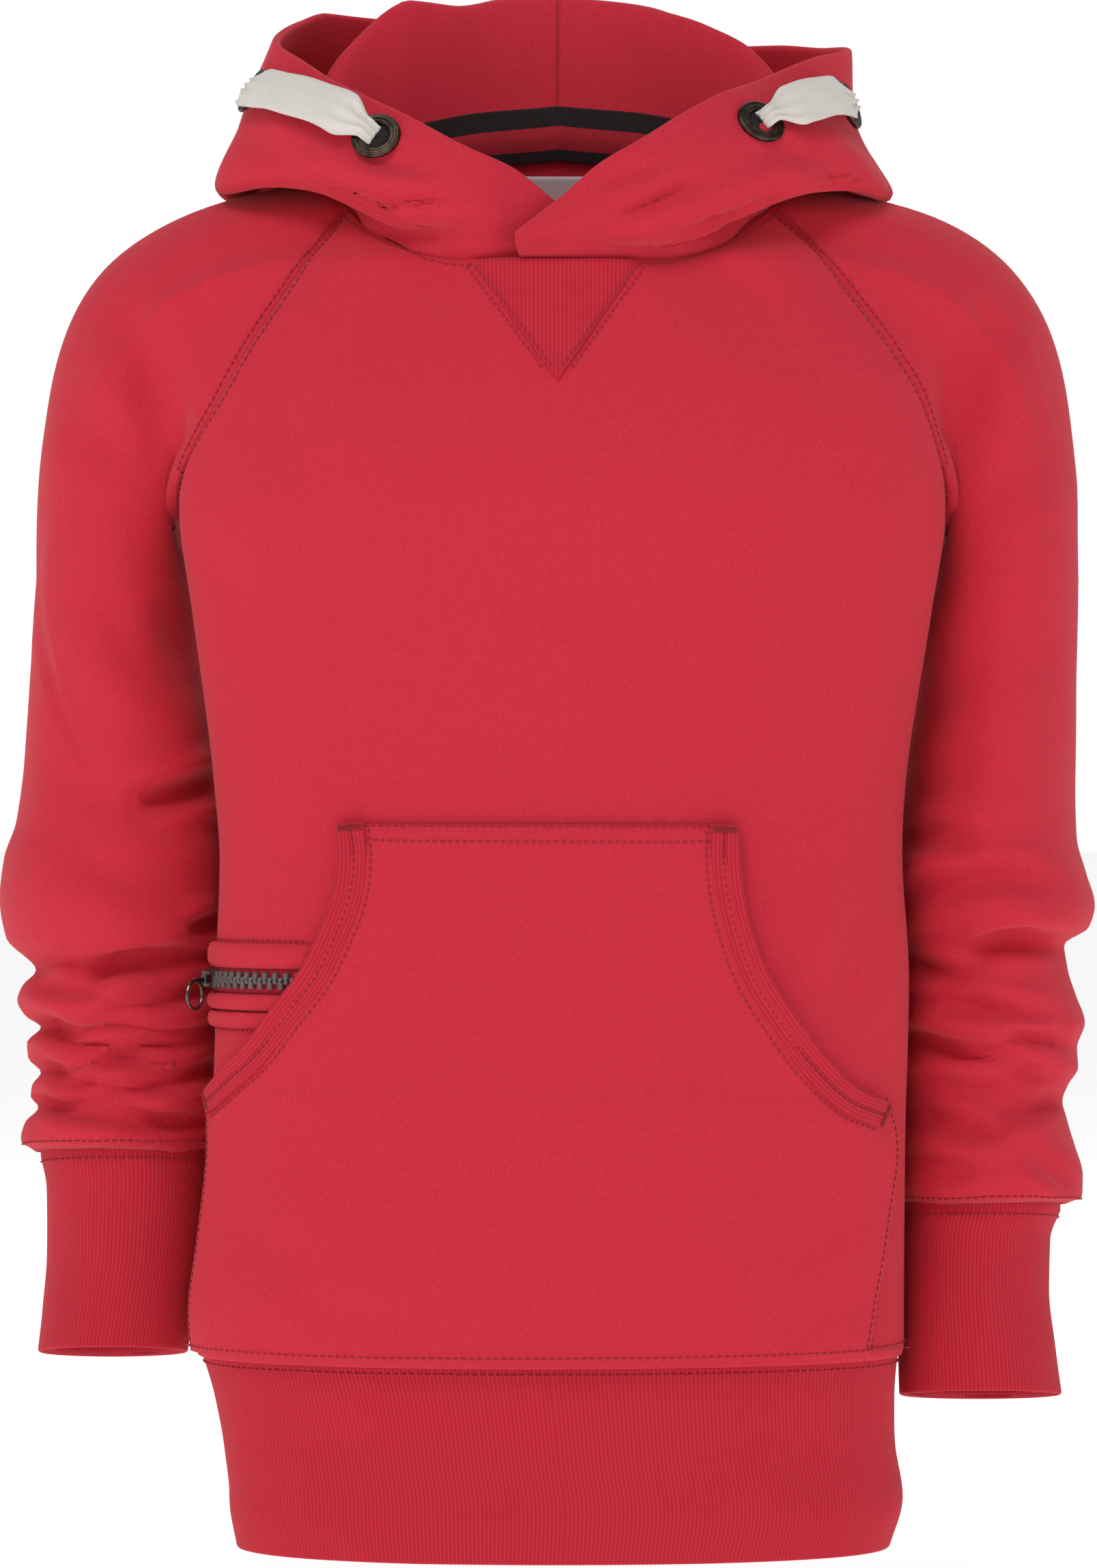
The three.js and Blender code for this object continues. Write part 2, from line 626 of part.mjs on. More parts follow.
// One ring of an arm or cuff, by its angle from the outermost point towards the back
function armPoint(rings, side, angle, z) {
  const value = (name) => read(rings, 'z', name, z);
  const turn = radians(angle);
  const middleX = (value('outer') + value('inner')) / 2;
  const halfX = (value('outer') - value('inner')) / 2;
  const middleY = (value('front') + value('back')) / 2;
  const halfY = (value('back') - value('front')) / 2;
  return new THREE.Vector3(
    side * (middleX + halfX * Math.cos(turn)),
    middleY + halfY * Math.sin(turn),
    z - (value('drop') / 2) * Math.sin(turn),
  );
}

// The opening that a sleeve is sewn to: the neck edge from the front seam to the back seam,
// down the back seam to the underarm, and up the front seam
function armhole(sideName) {
  const side = SIDES[sideName];
  const front = seamEdge(sideName, 'front');
  const back = seamEdge(sideName, 'back');
  const loop = [];
  for (let k = 0; k < NECK_COLUMNS; k += 1) {
    const azimuth = mix(CORNER.front, CORNER.back, k / NECK_COLUMNS);
    loop.push({ point: neckPoint(side, azimuth), normal: neckNormal(side, azimuth), azimuth });
  }
  for (let k = 0; k < YOKE_ROWS; k += 1) {
    loop.push(back[YOKE_ROWS - k]);
  }
  for (let k = 0; k < YOKE_ROWS; k += 1) {
    loop.push(front[k]);
  }
  return loop;
}

// The arm angle that each column of the armhole runs down to
function armAngle(k) {
  if (k <= NECK_COLUMNS) {
    return mix(-NECK_SPREAD, NECK_SPREAD, k / NECK_COLUMNS);
  }
  const seam = k - NECK_COLUMNS;
  if (seam <= YOKE_ROWS) {
    return mix(NECK_SPREAD, 180, seam / YOKE_ROWS);
  }
  return mix(180, 360 - NECK_SPREAD, (seam - YOKE_ROWS) / YOKE_ROWS);
}

// A sleeve as one closed grid: from the armhole over the shoulder, then down the arm's rings
function sleeve(sideName) {
  const side = SIDES[sideName];
  const rings = ARM[sideName];
  const loop = armhole(sideName);
  const count = loop.length;
  const underarm = NECK_COLUMNS + YOKE_ROWS;
  const steps = (k) => Math.abs(k - underarm);
  const leaving = loop.map((edge, k) => {
    const before = loop[(k + count - 1) % count].point;
    const after = loop[(k + 1) % count].point;
    const direction = edge.normal.clone().cross(after.clone().sub(before));
    direction.normalize().multiplyScalar(-side);
    const back = smooth(Math.min(k, count - k), 0, NECK_COLUMNS);
    const fall = mix(SHOULDER_FALL.front, SHOULDER_FALL.back, back);
    const shoulder = new THREE.Vector3(side, 0, -fall).normalize();
    const armpit = new THREE.Vector3(side, 0, -ARMPIT_FALL).normalize();
    const fromNeck = Math.max(0, k > underarm ? count - k : k - NECK_COLUMNS);
    const seam = armpit.lerp(direction, smooth(steps(k), 0, ARMPIT_COLUMNS));
    return shoulder.lerp(seam, smooth(fromNeck, 0, SHOULDER_COLUMNS)).normalize();
  });
  const topZ = rings[0].z;
  const foot = range(count).map((k) => armPoint(rings, side, armAngle(k), topZ));
  const grid = [];
  for (let i = 0; i < SHOULDER_ROWS; i += 1) {
    const t = i / SHOULDER_ROWS;
    grid.push(loop.map((edge, k) => {
      const gap = mix(ARMPIT_GAP, SLEEVE_GAP, smooth(steps(k), 0, ARMPIT_COLUMNS));
      const start = edge.point.clone().addScaledVector(leaving[k], gap);
      const reach = start.distanceTo(foot[k]);
      const crown = (1 + Math.cos(radians(armAngle(k)))) / 2;
      const leave = leaving[k].clone().multiplyScalar(reach * mix(SEAM_REACH, SHOULDER_REACH, crown));
      const arrive = up.clone().multiplyScalar(-reach * mix(SEAM_REACH, ARM_REACH, crown));
      return hermitePoint(start, leave, foot[k], arrive, t);
    }));
  }
  rings.forEach((row, i) => {
    if (i > 0 && rings[i - 1].z - row.z > ARM_ROW_MAX) {
      const between = (rings[i - 1].z + row.z) / 2;
      grid.push(range(count).map((k) => armPoint(rings, side, armAngle(k), between)));
    }
    grid.push(range(count).map((k) => armPoint(rings, side, armAngle(k), row.z)));
  });
  const normals = turnedTo(side, gridNormals(grid, true), SHOULDER_ROWS);
  loop.forEach((edge, k) => {
    normals[0][k].lerp(edge.normal, smooth(steps(k), 0, ARMPIT_COLUMNS)).normalize();
  });
  return { grid, normals };
}

// Ring heights of a table, top to bottom
const heights = (rings) => rings.map((row) => row.z);

// A rib cuff as one closed grid
function cuff(sideName) {
  const side = SIDES[sideName];
  const rings = CUFF[sideName];
  const count = NECK_COLUMNS + 2 * YOKE_ROWS;
  const grid = heights(rings).map((z, i) => range(count).map((k) => {
    const point = armPoint(rings, side, (360 * k) / count, z);
    point.z -= i === 0 ? SEAM_GAP : 0;
    return point;
  }));
  return { grid, normals: turnedTo(side, gridNormals(grid, true), 1) };
}

function makeSleeves() {
  for (const sideName of Object.keys(SIDES)) {
    const shape = sleeve(sideName);
    add(`sleeve_${sideName}`, wall(shape.grid, shape.normals, 0, -CLOTH, true), RED);
    const end = cuff(sideName);
    add(`cuff_${sideName}`, wall(end.grid, end.normals, 0, -RIB_CLOTH, true), DEEP_RED);
  }
}

// The ribbed hem, in one piece round the body
function makeHem() {
  const grid = heights(HEM).map((z, i) => range(RIB_COLUMNS).map((k) => {
    const point = ringPoint(HEM, (360 * k) / RIB_COLUMNS, z);
    point.z -= i === 0 ? SEAM_GAP : 0;
    return point;
  }));
  const normals = heights(HEM).map((z) => range(RIB_COLUMNS).map((k) => {
    const n = ringNormal(HEM, (360 * k) / RIB_COLUMNS, z);
    n.z = 0;
    return n.normalize();
  }));
  add('hem_rib', wall(grid, normals, 0, -RIB_CLOTH, true), DEEP_RED);
}

// A section of the hood as a curve in its own upright plane, radius and height
function hoodSection(sideName, azimuth) {
  const rows = HOOD[sideName];
  const value = (name) => read(rows, 'azimuth', name, azimuth);
  const side = SIDES[sideName];
  const cloth = HOOD_CLOTH + LAYER_GAP / 2;
  const start = neckPoint(side, azimuth)
    .addScaledVector(neckNormal(side, azimuth), -cloth)
    .addScaledVector(neckRise(side, azimuth), HOOD_SEAM_GAP);
  const across = outward(side, azimuth);
  const inside = sideName === 'left' ? CROSSING_STEP : 0;
  const step = inside * (1 - smooth(azimuth, CROSSING_END, CROSSING_START));
  const points = [new THREE.Vector3(start.dot(across) - step, start.z, 0)];
  for (const name of HOOD_POINTS) {
    points.push(new THREE.Vector3(value(`${name}R`) - step, value(`${name}Z`), 0));
  }
  return { curve: new THREE.CatmullRomCurve3(points, false, 'centripetal'), across };
}

function hoodPoint(sideName, azimuth, step) {
  const { curve, across } = hoodSection(sideName, azimuth);
  const flat = curve.getPoint(step / HOOD_POINTS.length);
  return across.multiplyScalar(flat.x).addScaledVector(up, flat.y);
}

function hoodNormal(sideName, azimuth, step) {
  const first = Math.max(step - NORMAL_STEP, 0);
  const next = Math.min(step + NORMAL_STEP, HOOD_POINTS.length);
  const along = hoodPoint(sideName, azimuth, next).sub(hoodPoint(sideName, azimuth, first));
  const round = hoodPoint(sideName, azimuth + NORMAL_DEGREES, step)
    .sub(hoodPoint(sideName, azimuth - NORMAL_DEGREES, step));
  return round.cross(along).normalize().multiplyScalar(SIDES[sideName]);
}

function hoodGrid(sideName) {
  const start = HOOD[sideName][0].azimuth;
  const azimuths = range(HOOD_SECTIONS + 1).map((k) => (
    mix(start, HOOD_BACK_AZIMUTH, k / HOOD_SECTIONS)
  ));
  const grid = azimuths.map((a) => HOOD_STEPS.map((s) => hoodPoint(sideName, a, s)));
  const side = SIDES[sideName];
  const normals = gridNormals(grid, false).map((row) => row.map((n) => n.multiplyScalar(-side)));
  azimuths.forEach((a, i) => {
    normals[i][0] = neckNormal(side, a);
  });
  const last = normals.length - 1;
  normals[last].forEach((n) => {
    n.x = 0;
    n.normalize();
  });
  return { grid, normals };
}

// The two halves of the hood, each with its lining, joined along the middle of the back
function makeHood() {
  const half = LAYER_GAP / 2;
  for (const sideName of Object.keys(SIDES)) {
    const { grid, normals } = hoodGrid(sideName);
    add(`hood_${sideName}`, wall(grid, normals, half + HOOD_CLOTH, half), RED);
    add(`hood_lining_${sideName}`, wall(grid, normals, -half, -half - HOOD_CLOTH), RED);
  }
}

// One of the pocket's edges as a curve of angles and heights on the body, from the top down
function pocketEdge(sideName) {
  const points = POCKET.map((row) => {
    const z = row[`${sideName}Z`];
    return new THREE.Vector3(angleAt(BODY, row[`${sideName}X`], z), z, 0);
  });
  return new THREE.CatmullRomCurve3(points, false, 'centripetal');
}

// A point beside a curve on the body, at a distance from it measured over the cloth
function beside(curve, t, distance) {
  const at = curve.getPoint(t);
  const next = curve.getPoint(Math.min(t + CURVE_STEP, 1));
  const ahead = next.sub(curve.getPoint(Math.max(t - CURVE_STEP, 0)));
  const perDegree = onBody(at.x + 1, at.y).distanceTo(onBody(at.x - 1, at.y)) / 2;
  const along = new THREE.Vector2(ahead.x * perDegree, ahead.y).normalize();
  return {
    angle: at.x - (along.y * distance) / perDegree,
    z: at.y + along.x * distance,
  };
}

// The kangaroo pocket and the bindings of its two hand openings
function makePocket() {
  const left = pocketEdge('left');
  const right = pocketEdge('right');
  const grid = [];
  const normals = [];
  for (let i = 0; i <= POCKET_ROWS; i += 1) {
    const a = left.getPoint(i / POCKET_ROWS);
    const b = right.getPoint(i / POCKET_ROWS);
    const line = range(POCKET_COLUMNS + 1).map((j) => {
      const u = j / POCKET_COLUMNS;
      return { angle: mix(a.x, b.x, u), z: mix(a.y, b.y, u) };
    });
    grid.push(line.map((p) => onBody(p.angle, p.z, POCKET_GAP)));
    normals.push(line.map((p) => ringNormal(BODY, p.angle, p.z)));
  }
  add('pocket', wall(grid, normals, CLOTH, 0), RED);
  add('pocket_binding_left', bindingWall(left, 1), DEEP_RED);
  add('pocket_binding_right', bindingWall(right, -1), DEEP_RED);
}

// The ribbed binding of a hand opening, made from the body's points, moved out over the pocket
function bindingWall(edge, inwards) {
  const grid = [];
  const normals = [];
  for (let i = 0; i <= BINDING_ROWS; i += 1) {
    const t = (i / BINDING_ROWS) * POCKET_MOUTH;
    const line = range(BINDING_COLUMNS + 1).map((j) => (
      beside(edge, t, inwards * mix(BINDING_EDGE, BINDING_WIDTH, j / BINDING_COLUMNS))
    ));
    grid.push(line.map((p) => onBody(p.angle, p.z, POCKET_GAP + CLOTH + LAYER_GAP)));
    normals.push(line.map((p) => ringNormal(BODY, p.angle, p.z)));
  }
  return wall(grid, normals, BINDING_CLOTH, 0);
}

// A strip on the body between two heights, from one angle to another
function bodyStrip(from, to, low, high, columns, rows, lift) {
  const grid = [];
  const normals = [];
  for (let i = 0; i <= rows; i += 1) {
    const z = mix(low, high, i / rows);
    const angles = range(columns + 1).map((j) => mix(from, to, j / columns));
    grid.push(angles.map((a) => onBody(a, z, lift(i / rows))));
    normals.push(angles.map((a) => ringNormal(BODY, a, z)));
  }
  return { grid, normals };
}

// The zip pocket: three padded welts, the zip's tape, and the two rows of teeth as one band
function makeZip() {
  for (const welt of WELTS) {
    const low = welt.middleZ - welt.height / 2;
    const high = welt.middleZ + welt.height / 2;
    const end = angleAt(BODY, welt.endX, welt.middleZ);
    const roll = (share) => LAYER_GAP + welt.proud * mix(WELT.edge, 1, Math.sin(Math.PI * share));
    const strip = (lift) => (
      bodyStrip(ZIP.startAngle, end, low, high, WELT.columns, WELT.rows, lift).grid
    );
    add(welt.name, wallBetween(strip(roll), strip(() => LAYER_GAP), false), RED);
  }
  const end = angleAt(BODY, ZIP.endX, ZIP.z);
  const strip = (start, height, lift) => (
    bodyStrip(start, end, ZIP.z - height / 2, ZIP.z + height / 2, ZIP.columns, 1, () => lift)
  );
  const woven = strip(ZIP.startAngle, ZIP.tapeHeight, LAYER_GAP);
  add('zip_tape', wall(woven.grid, woven.normals, ZIP.tapeCloth, 0), DEEP_RED);
  const perDegree = onBody(SLIDER.angle, ZIP.z).distanceTo(onBody(SLIDER.angle + 1, ZIP.z));
  const start = SLIDER.angle + (SLIDER.length / 2 + LAYER_GAP) / perDegree;
  const teeth = strip(start, ZIP.teethHeight, 2 * LAYER_GAP + ZIP.tapeCloth);
  add('zip_chain', wall(teeth.grid, teeth.normals, ZIP.teeth, 0), GUNMETAL);
}

// A geometry as a solid that can be joined to or cut from another, and back again
function solid(geometry) {
  const bare = geometry.clone();
  bare.deleteAttribute('normal');
  bare.deleteAttribute('uv');
  const merged = mergeVertices(bare, 1e-4);
  return new wasm.Manifold(new wasm.Mesh({
    numProp: 3,
    vertProperties: new Float32Array(merged.getAttribute('position').array),
    triVerts: new Uint32Array(merged.getIndex().array),
  }));
}

function geometryOf(result) {
  const mesh = result.getMesh();
  return facingOut(Array.from(mesh.vertProperties), Array.from(mesh.triVerts));
}

// An upright round bar about Z
function upright(radius, height, segments) {
  return new THREE.CylinderGeometry(radius, radius, height, segments).rotateX(Math.PI / 2);
}

// The slider is a plate against the zip with two lugs that hold an upright pin.
// The pull is a barrel round the pin, a short arm, and a ring that hangs below the arm.
function makeSlider() {
  const outside = ringNormal(BODY, SLIDER.angle, ZIP.z);
  const slider = new THREE.Group();
  slider.position.copy(onBody(SLIDER.angle, ZIP.z, 2 * LAYER_GAP + ZIP.tapeCloth));
  slider.rotation.z = Math.atan2(outside.y, outside.x);
  garment.add(slider);
  const box = (x0, x1, y, z0, z1) => (
    new THREE.BoxGeometry(x1 - x0, y, z1 - z0).translate((x0 + x1) / 2, 0, (z0 + z1) / 2)
  );
  let body = solid(box(0, SLIDER.thickness, SLIDER.length, -SLIDER.height / 2, SLIDER.height / 2));
  const lugStart = PULL.barrelHeight / 2 + SEAM_GAP;
  for (const sign of [-1, 1]) {
    const ends = [sign * lugStart, sign * (lugStart + SLIDER.lugHeight)].sort((a, b) => a - b);
    const arm = box(SLIDER.thickness / 2, PIN.reach, 2 * SLIDER.lugRadius, ends[0], ends[1]);
    const eye = upright(SLIDER.lugRadius, SLIDER.lugHeight, PULL.segments);
    eye.translate(PIN.reach, 0, (ends[0] + ends[1]) / 2);
    body = body.add(solid(arm)).add(solid(eye));
  }
  const pin = upright(PIN.radius, 2 * lugStart + SLIDER.lugHeight, PIN.segments);
  pin.translate(PIN.reach, 0, 0);
  add('zip_slider', geometryOf(body.add(solid(pin))), GUNMETAL, slider);

  const pull = new THREE.Group();
  pull.position.set(PIN.reach, 0, 0);
  pull.rotation.z = radians(PULL.turn);
  slider.add(pull);
  const ring = new THREE.TorusGeometry(PULL.ring, PULL.wire, PULL.wireSegments, PULL.ringSegments);
  ring.rotateX(Math.PI / 2);
  ring.translate(PULL.ringX, 0, PULL.ringZ);
  const armZ = PULL.ringZ + PULL.ring;
  const arm = box(PULL.barrelRadius / 2, PULL.ringX, 2 * PULL.wire, armZ - PULL.wire, armZ + PULL.wire);
  const barrel = solid(upright(PULL.barrelRadius, PULL.barrelHeight, PULL.segments)).add(solid(arm));
  const bored = barrel.subtract(solid(upright(PULL.hole, 2 * PULL.barrelHeight, PIN.segments)));
  add('zip_pull', geometryOf(bored.add(solid(ring))), GUNMETAL, pull);
}

// Four eyelets: bevelled rings that lie flat on the hood
function makeEyelets() {
  const { outer, inner, thickness, bevel, segments } = EYELET;
  const profile = [
    [inner, 0], [outer, 0], [outer, thickness - bevel], [outer - bevel, thickness],
    [inner + bevel, thickness], [inner, thickness - bevel], [inner, 0],
  ].map(([r, h]) => new THREE.Vector2(r, h));
  const places = { inner: 0, outer: 1 };
  for (const sideName of Object.keys(SIDES)) {
    for (const [place, index] of Object.entries(places)) {
      const { azimuth, step, lift } = EYELETS[sideName][index];
      const normal = hoodNormal(sideName, azimuth, step);
      const ring = new THREE.LatheGeometry(profile, segments).rotateX(Math.PI / 2);
      const mesh = add(`eyelet_${sideName}_${place}`, ring, BRONZE);
      const height = LAYER_GAP / 2 + HOOD_CLOTH + lift;
      mesh.position.copy(hoodPoint(sideName, azimuth, step).addScaledVector(normal, height));
      mesh.quaternion.setFromUnitVectors(up, normal);
    }
  }
}

// A flat tape from eyelet to eyelet: it comes out of one, widens, and goes into the other
function makeTapes() {
  for (const sideName of Object.keys(SIDES)) {
    const [from, to] = EYELETS[sideName];
    const azimuthAt = (t) => mix(from.azimuth, to.azimuth, t);
    const stepAt = (t) => mix(from.step, to.step, t);
    const middle = (t) => hoodPoint(sideName, azimuthAt(t), stepAt(t));
    const length = middle(0).distanceTo(middle(0.5)) + middle(0.5).distanceTo(middle(1));
    const starts = TAPE_ENDS.map((d) => d / length);
    const shares = [...starts, ...starts.map((t) => 1 - t).reverse()];
    const grid = [];
    const normals = [];
    for (const t of shares) {
      const inset = Math.min(t, 1 - t) * length;
      const normal = hoodNormal(sideName, azimuthAt(t), stepAt(t));
      const next = middle(Math.min(t + CURVE_STEP, 1));
      const along = next.sub(middle(Math.max(t - CURVE_STEP, 0)));
      const across = normal.clone().cross(along).normalize();
      const half = mix(TAPE.endWidth, TAPE.width, smooth(inset, TAPE.widenFrom, TAPE.widenTo)) / 2;
      const lift = LAYER_GAP / 2 + HOOD_CLOTH
        + mix(TAPE.endLift, TAPE.eyeletLift, smooth(inset, 0, TAPE.overEyelet))
        + (TAPE.middleLift - TAPE.eyeletLift) * smooth(inset, TAPE.overEyelet, TAPE.fullLift);
      const centre = middle(t).addScaledVector(normal, lift);
      grid.push([-1, 0, 1].map((side) => centre.clone().addScaledVector(across, side * half)));
      normals.push([normal, normal, normal]);
    }
    add(`tape_${sideName}`, wall(grid, normals, TAPE.cloth, 0), OFF_WHITE);
  }
}

// The tape over the back neck seam: below the seam it lies on the back, above it on the hood lining
function makeNeckTape() {
  const grid = [];
  const normals = [];
  for (const height of NECK_TAPE.heights) {
    const line = range(NECK_TAPE.columns + 1).map((j) => {
      const share = (2 * j) / NECK_TAPE.columns - 1;
      const sideName = share < 0 ? 'left' : 'right';
      const side = SIDES[sideName];
      const azimuth = 180 - Math.abs(share) * (180 - NECK_TAPE.azimuth);
      const depth = LAYER_GAP / 2 + HOOD_CLOTH + NECK_TAPE.gap;
      if (height > 0) {
        const seam = hoodPoint(sideName, azimuth, 0);
        const step = height / seam.distanceTo(hoodPoint(sideName, azimuth, 1));
        const normal = hoodNormal(sideName, azimuth, step);
        const point = hoodPoint(sideName, azimuth, step).addScaledVector(normal, -depth);
        return { normal, point };
      }
      const normal = neckNormal(side, azimuth);
      const inner = HOOD_CLOTH + LAYER_GAP / 2 + depth;
      const point = neckPoint(side, azimuth)
        .addScaledVector(normal, -inner)
        .addScaledVector(neckRise(side, azimuth), height);
      return { normal, point };
    });
    grid.push(line.map((at) => at.point));
    normals.push(line.map((at) => at.normal));
  }
  add('neck_tape', wall(grid, normals, 0, -NECK_TAPE.cloth), BLACK);
}

// The blank label inside the back, below the neck tape
function makeLabel() {
  const inside = CLOTH + LAYER_GAP;
  const grid = [];
  const normals = [];
  for (let i = 0; i <= LABEL.rows; i += 1) {
    const z = mix(LABEL.bottomZ, LABEL.topZ, i / LABEL.rows);
    const angles = range(LABEL.columns + 1).map((j) => (
      angleAt(RINGS.back, LABEL.halfWidth * ((2 * j) / LABEL.columns - 1), z)
    ));
    grid.push(angles.map((a) => facePoint('back', a, z)));
    normals.push(angles.map((a) => faceNormal('back', a, z)));
  }
  add('label', wall(grid, normals, -inside, -inside - LABEL.cloth), OFF_WHITE);
}

// Where the front's yoke has a given X and Z, found by small steps from the middle
function onYoke(x, z) {
  let u = 0.5;
  let t = 0.5;
  for (let step = 0; step < SEARCH_STEPS; step += 1) {
    const at = yokePoint('front', u, t);
    const width = yokePoint('front', 1, t).x - yokePoint('front', 0, t).x;
    u += (x - at.x) / width;
    t = Math.min(t + (z - at.z) / (NECK[0].z - UNDERARM_Z), 1);
  }
  return { u, t };
}

function yokeNormal(u, t) {
  const across = yokePoint('front', u + CURVE_STEP, t).sub(yokePoint('front', u - CURVE_STEP, t));
  const rise = yokePoint('front', u, t).sub(yokePoint('front', u, t - CURVE_STEP));
  return across.cross(rise).normalize();
}

// The ribbed V below the front neck seam, made from the front's own points, moved out
function makeGusset() {
  const grid = [];
  const normals = [];
  const topZ = NECK[0].z - GUSSET.drop;
  for (let i = 0; i <= GUSSET.rows; i += 1) {
    const down = (GUSSET.blunt * i) / GUSSET.rows;
    const left = mix(GUSSET.leftX, GUSSET.tipX, down);
    const right = mix(GUSSET.rightX, GUSSET.tipX, down);
    const line = range(GUSSET.columns + 1).map((j) => (
      onYoke(mix(left, right, j / GUSSET.columns), mix(topZ, GUSSET.tipZ, down))
    ));
    grid.push(line.map(({ u, t }) => yokePoint('front', u, t)));
    normals.push(line.map(({ u, t }) => yokeNormal(u, t)));
  }
  add('neck_gusset', wall(grid, normals, LAYER_GAP + GUSSET.cloth, LAYER_GAP), DEEP_RED);
}

makePanels();
makeSleeves();
makeHem();
makeHood();
makePocket();
makeZip();
makeSlider();
makeGusset();
makeEyelets();
makeTapes();
makeNeckTape();
makeLabel();

export default garment;
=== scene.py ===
# %% [markdown]
# # A child's hooded sweatshirt in red fleece
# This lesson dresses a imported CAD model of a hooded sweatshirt. The model's solids are plain cloth walls.
# Here every cloth piece is worked out again as a fine surface on the same form, with soft creases, and then
# gets its wall, its knit, its sewing and its trim. Lengths are in millimetres while a shape is worked out,
# and become metres only when it is put into a mesh.

# %% Load the frame
import json

import bpy
import numpy as np
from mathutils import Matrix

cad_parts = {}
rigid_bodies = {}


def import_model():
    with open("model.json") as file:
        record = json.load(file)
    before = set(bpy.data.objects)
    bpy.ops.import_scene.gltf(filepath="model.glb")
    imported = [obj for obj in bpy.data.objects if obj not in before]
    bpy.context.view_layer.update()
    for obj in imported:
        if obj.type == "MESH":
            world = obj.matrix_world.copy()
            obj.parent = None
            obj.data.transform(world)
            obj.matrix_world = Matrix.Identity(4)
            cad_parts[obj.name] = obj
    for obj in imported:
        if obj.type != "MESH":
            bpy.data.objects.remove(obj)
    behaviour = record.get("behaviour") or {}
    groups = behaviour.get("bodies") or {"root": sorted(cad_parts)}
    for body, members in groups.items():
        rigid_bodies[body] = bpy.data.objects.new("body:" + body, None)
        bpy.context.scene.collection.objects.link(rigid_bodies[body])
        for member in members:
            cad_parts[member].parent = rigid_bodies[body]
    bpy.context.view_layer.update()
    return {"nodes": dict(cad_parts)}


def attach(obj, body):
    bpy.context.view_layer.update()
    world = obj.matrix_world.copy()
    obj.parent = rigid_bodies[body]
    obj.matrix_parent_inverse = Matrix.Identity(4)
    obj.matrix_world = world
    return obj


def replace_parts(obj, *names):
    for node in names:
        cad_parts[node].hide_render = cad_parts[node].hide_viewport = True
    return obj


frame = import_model()

# %% [markdown]
# ## Camera, light and floor
# The garment is seen from straight in front and from far away, against plain white. A long lens at 2.4 m
# gives that flat view. The height of the picture there is 631 mm, which sets the focal length.
# Big soft lamps stand for the white walls of a studio: one in front and above, and one at each side.

# %% Camera, light and floor
CAMERA_Y, CAMERA_Z = -2.4, -0.222
PICTURE_HEIGHT = 2296 * 0.000275
PICTURE_SHIFT = (1607 / 2 - 818) / 2296


def add_object(name, data):
    """An object at the origin, in the scene."""
    made = bpy.data.objects.new(name, data)
    bpy.context.scene.collection.objects.link(made)
    return made


camera = add_object("camera", bpy.data.cameras.new("camera"))
camera.location = (0, CAMERA_Y, CAMERA_Z)
camera.rotation_euler = (np.pi / 2, 0, 0)
camera.data.lens = camera.data.sensor_width * -CAMERA_Y / PICTURE_HEIGHT
camera.data.shift_x = PICTURE_SHIFT
camera.data.clip_end = 30
bpy.context.scene.camera = camera
bpy.context.scene.view_settings.view_transform = "Standard"


def soft_lamp(name, place, turn, size, watts):
    """A square lamp at a place, turned by angles in degrees about X, Y and Z."""
    lamp = bpy.data.lights.new(name, "AREA")
    lamp.size = size
    lamp.energy = watts
    made = add_object(name, lamp)
    made.location = place
    made.rotation_euler = np.radians(turn)


soft_lamp("lamp_front", (-0.7, -1.9, 2.0), (45, 0, -20), 1.1, 25)
soft_lamp("lamp_left", (-2.0, -0.9, 0.3), (84, 0, -66), 1.2, 3.2)
soft_lamp("lamp_right", (2.0, -0.8, 0.4), (82, 0, 68), 1.2, 4)
soft_lamp("lamp_back", (0.3, 1.6, 1.8), (-42, 0, 0), 1.6, 10)
print("focal length", round(camera.data.lens, 1), "mm, shift", round(camera.data.shift_x, 4))

# %% [markdown]
# ## Shader maths
# A material is a network of nodes. Written out node by node it is long, so one small class stands for an
# output socket and turns arithmetic on it into Math nodes. Another one holds the material itself.

# %% Shader maths
class Value:
    """An output socket of a material, on which + - * / and a few functions add Math nodes."""

    def __init__(self, look, socket):
        self.look, self.socket = look, socket

    def math(self, operation, *values):
        return self.look.node("Math", {"operation": operation}, dict(enumerate(values)))

    def __add__(self, other):
        return self.math("ADD", self, other)

    def __sub__(self, other):
        return self.math("SUBTRACT", self, other)

    def __rsub__(self, other):
        return self.math("SUBTRACT", other, self)

    def __mul__(self, other):
        return self.math("MULTIPLY", self, other)

    def __truediv__(self, other):
        return self.math("DIVIDE", self, other)

    def __pow__(self, other):
        return self.math("POWER", self, other)

    __radd__, __rmul__ = __add__, __mul__

    def sine(self):
        return self.math("SINE", self)

    def size(self):
        return self.math("ABSOLUTE", self)

    def held(self):
        return self.look.node("Clamp", None, {0: self})

    def over(self, edge):
        return self.math("GREATER_THAN", self, edge)


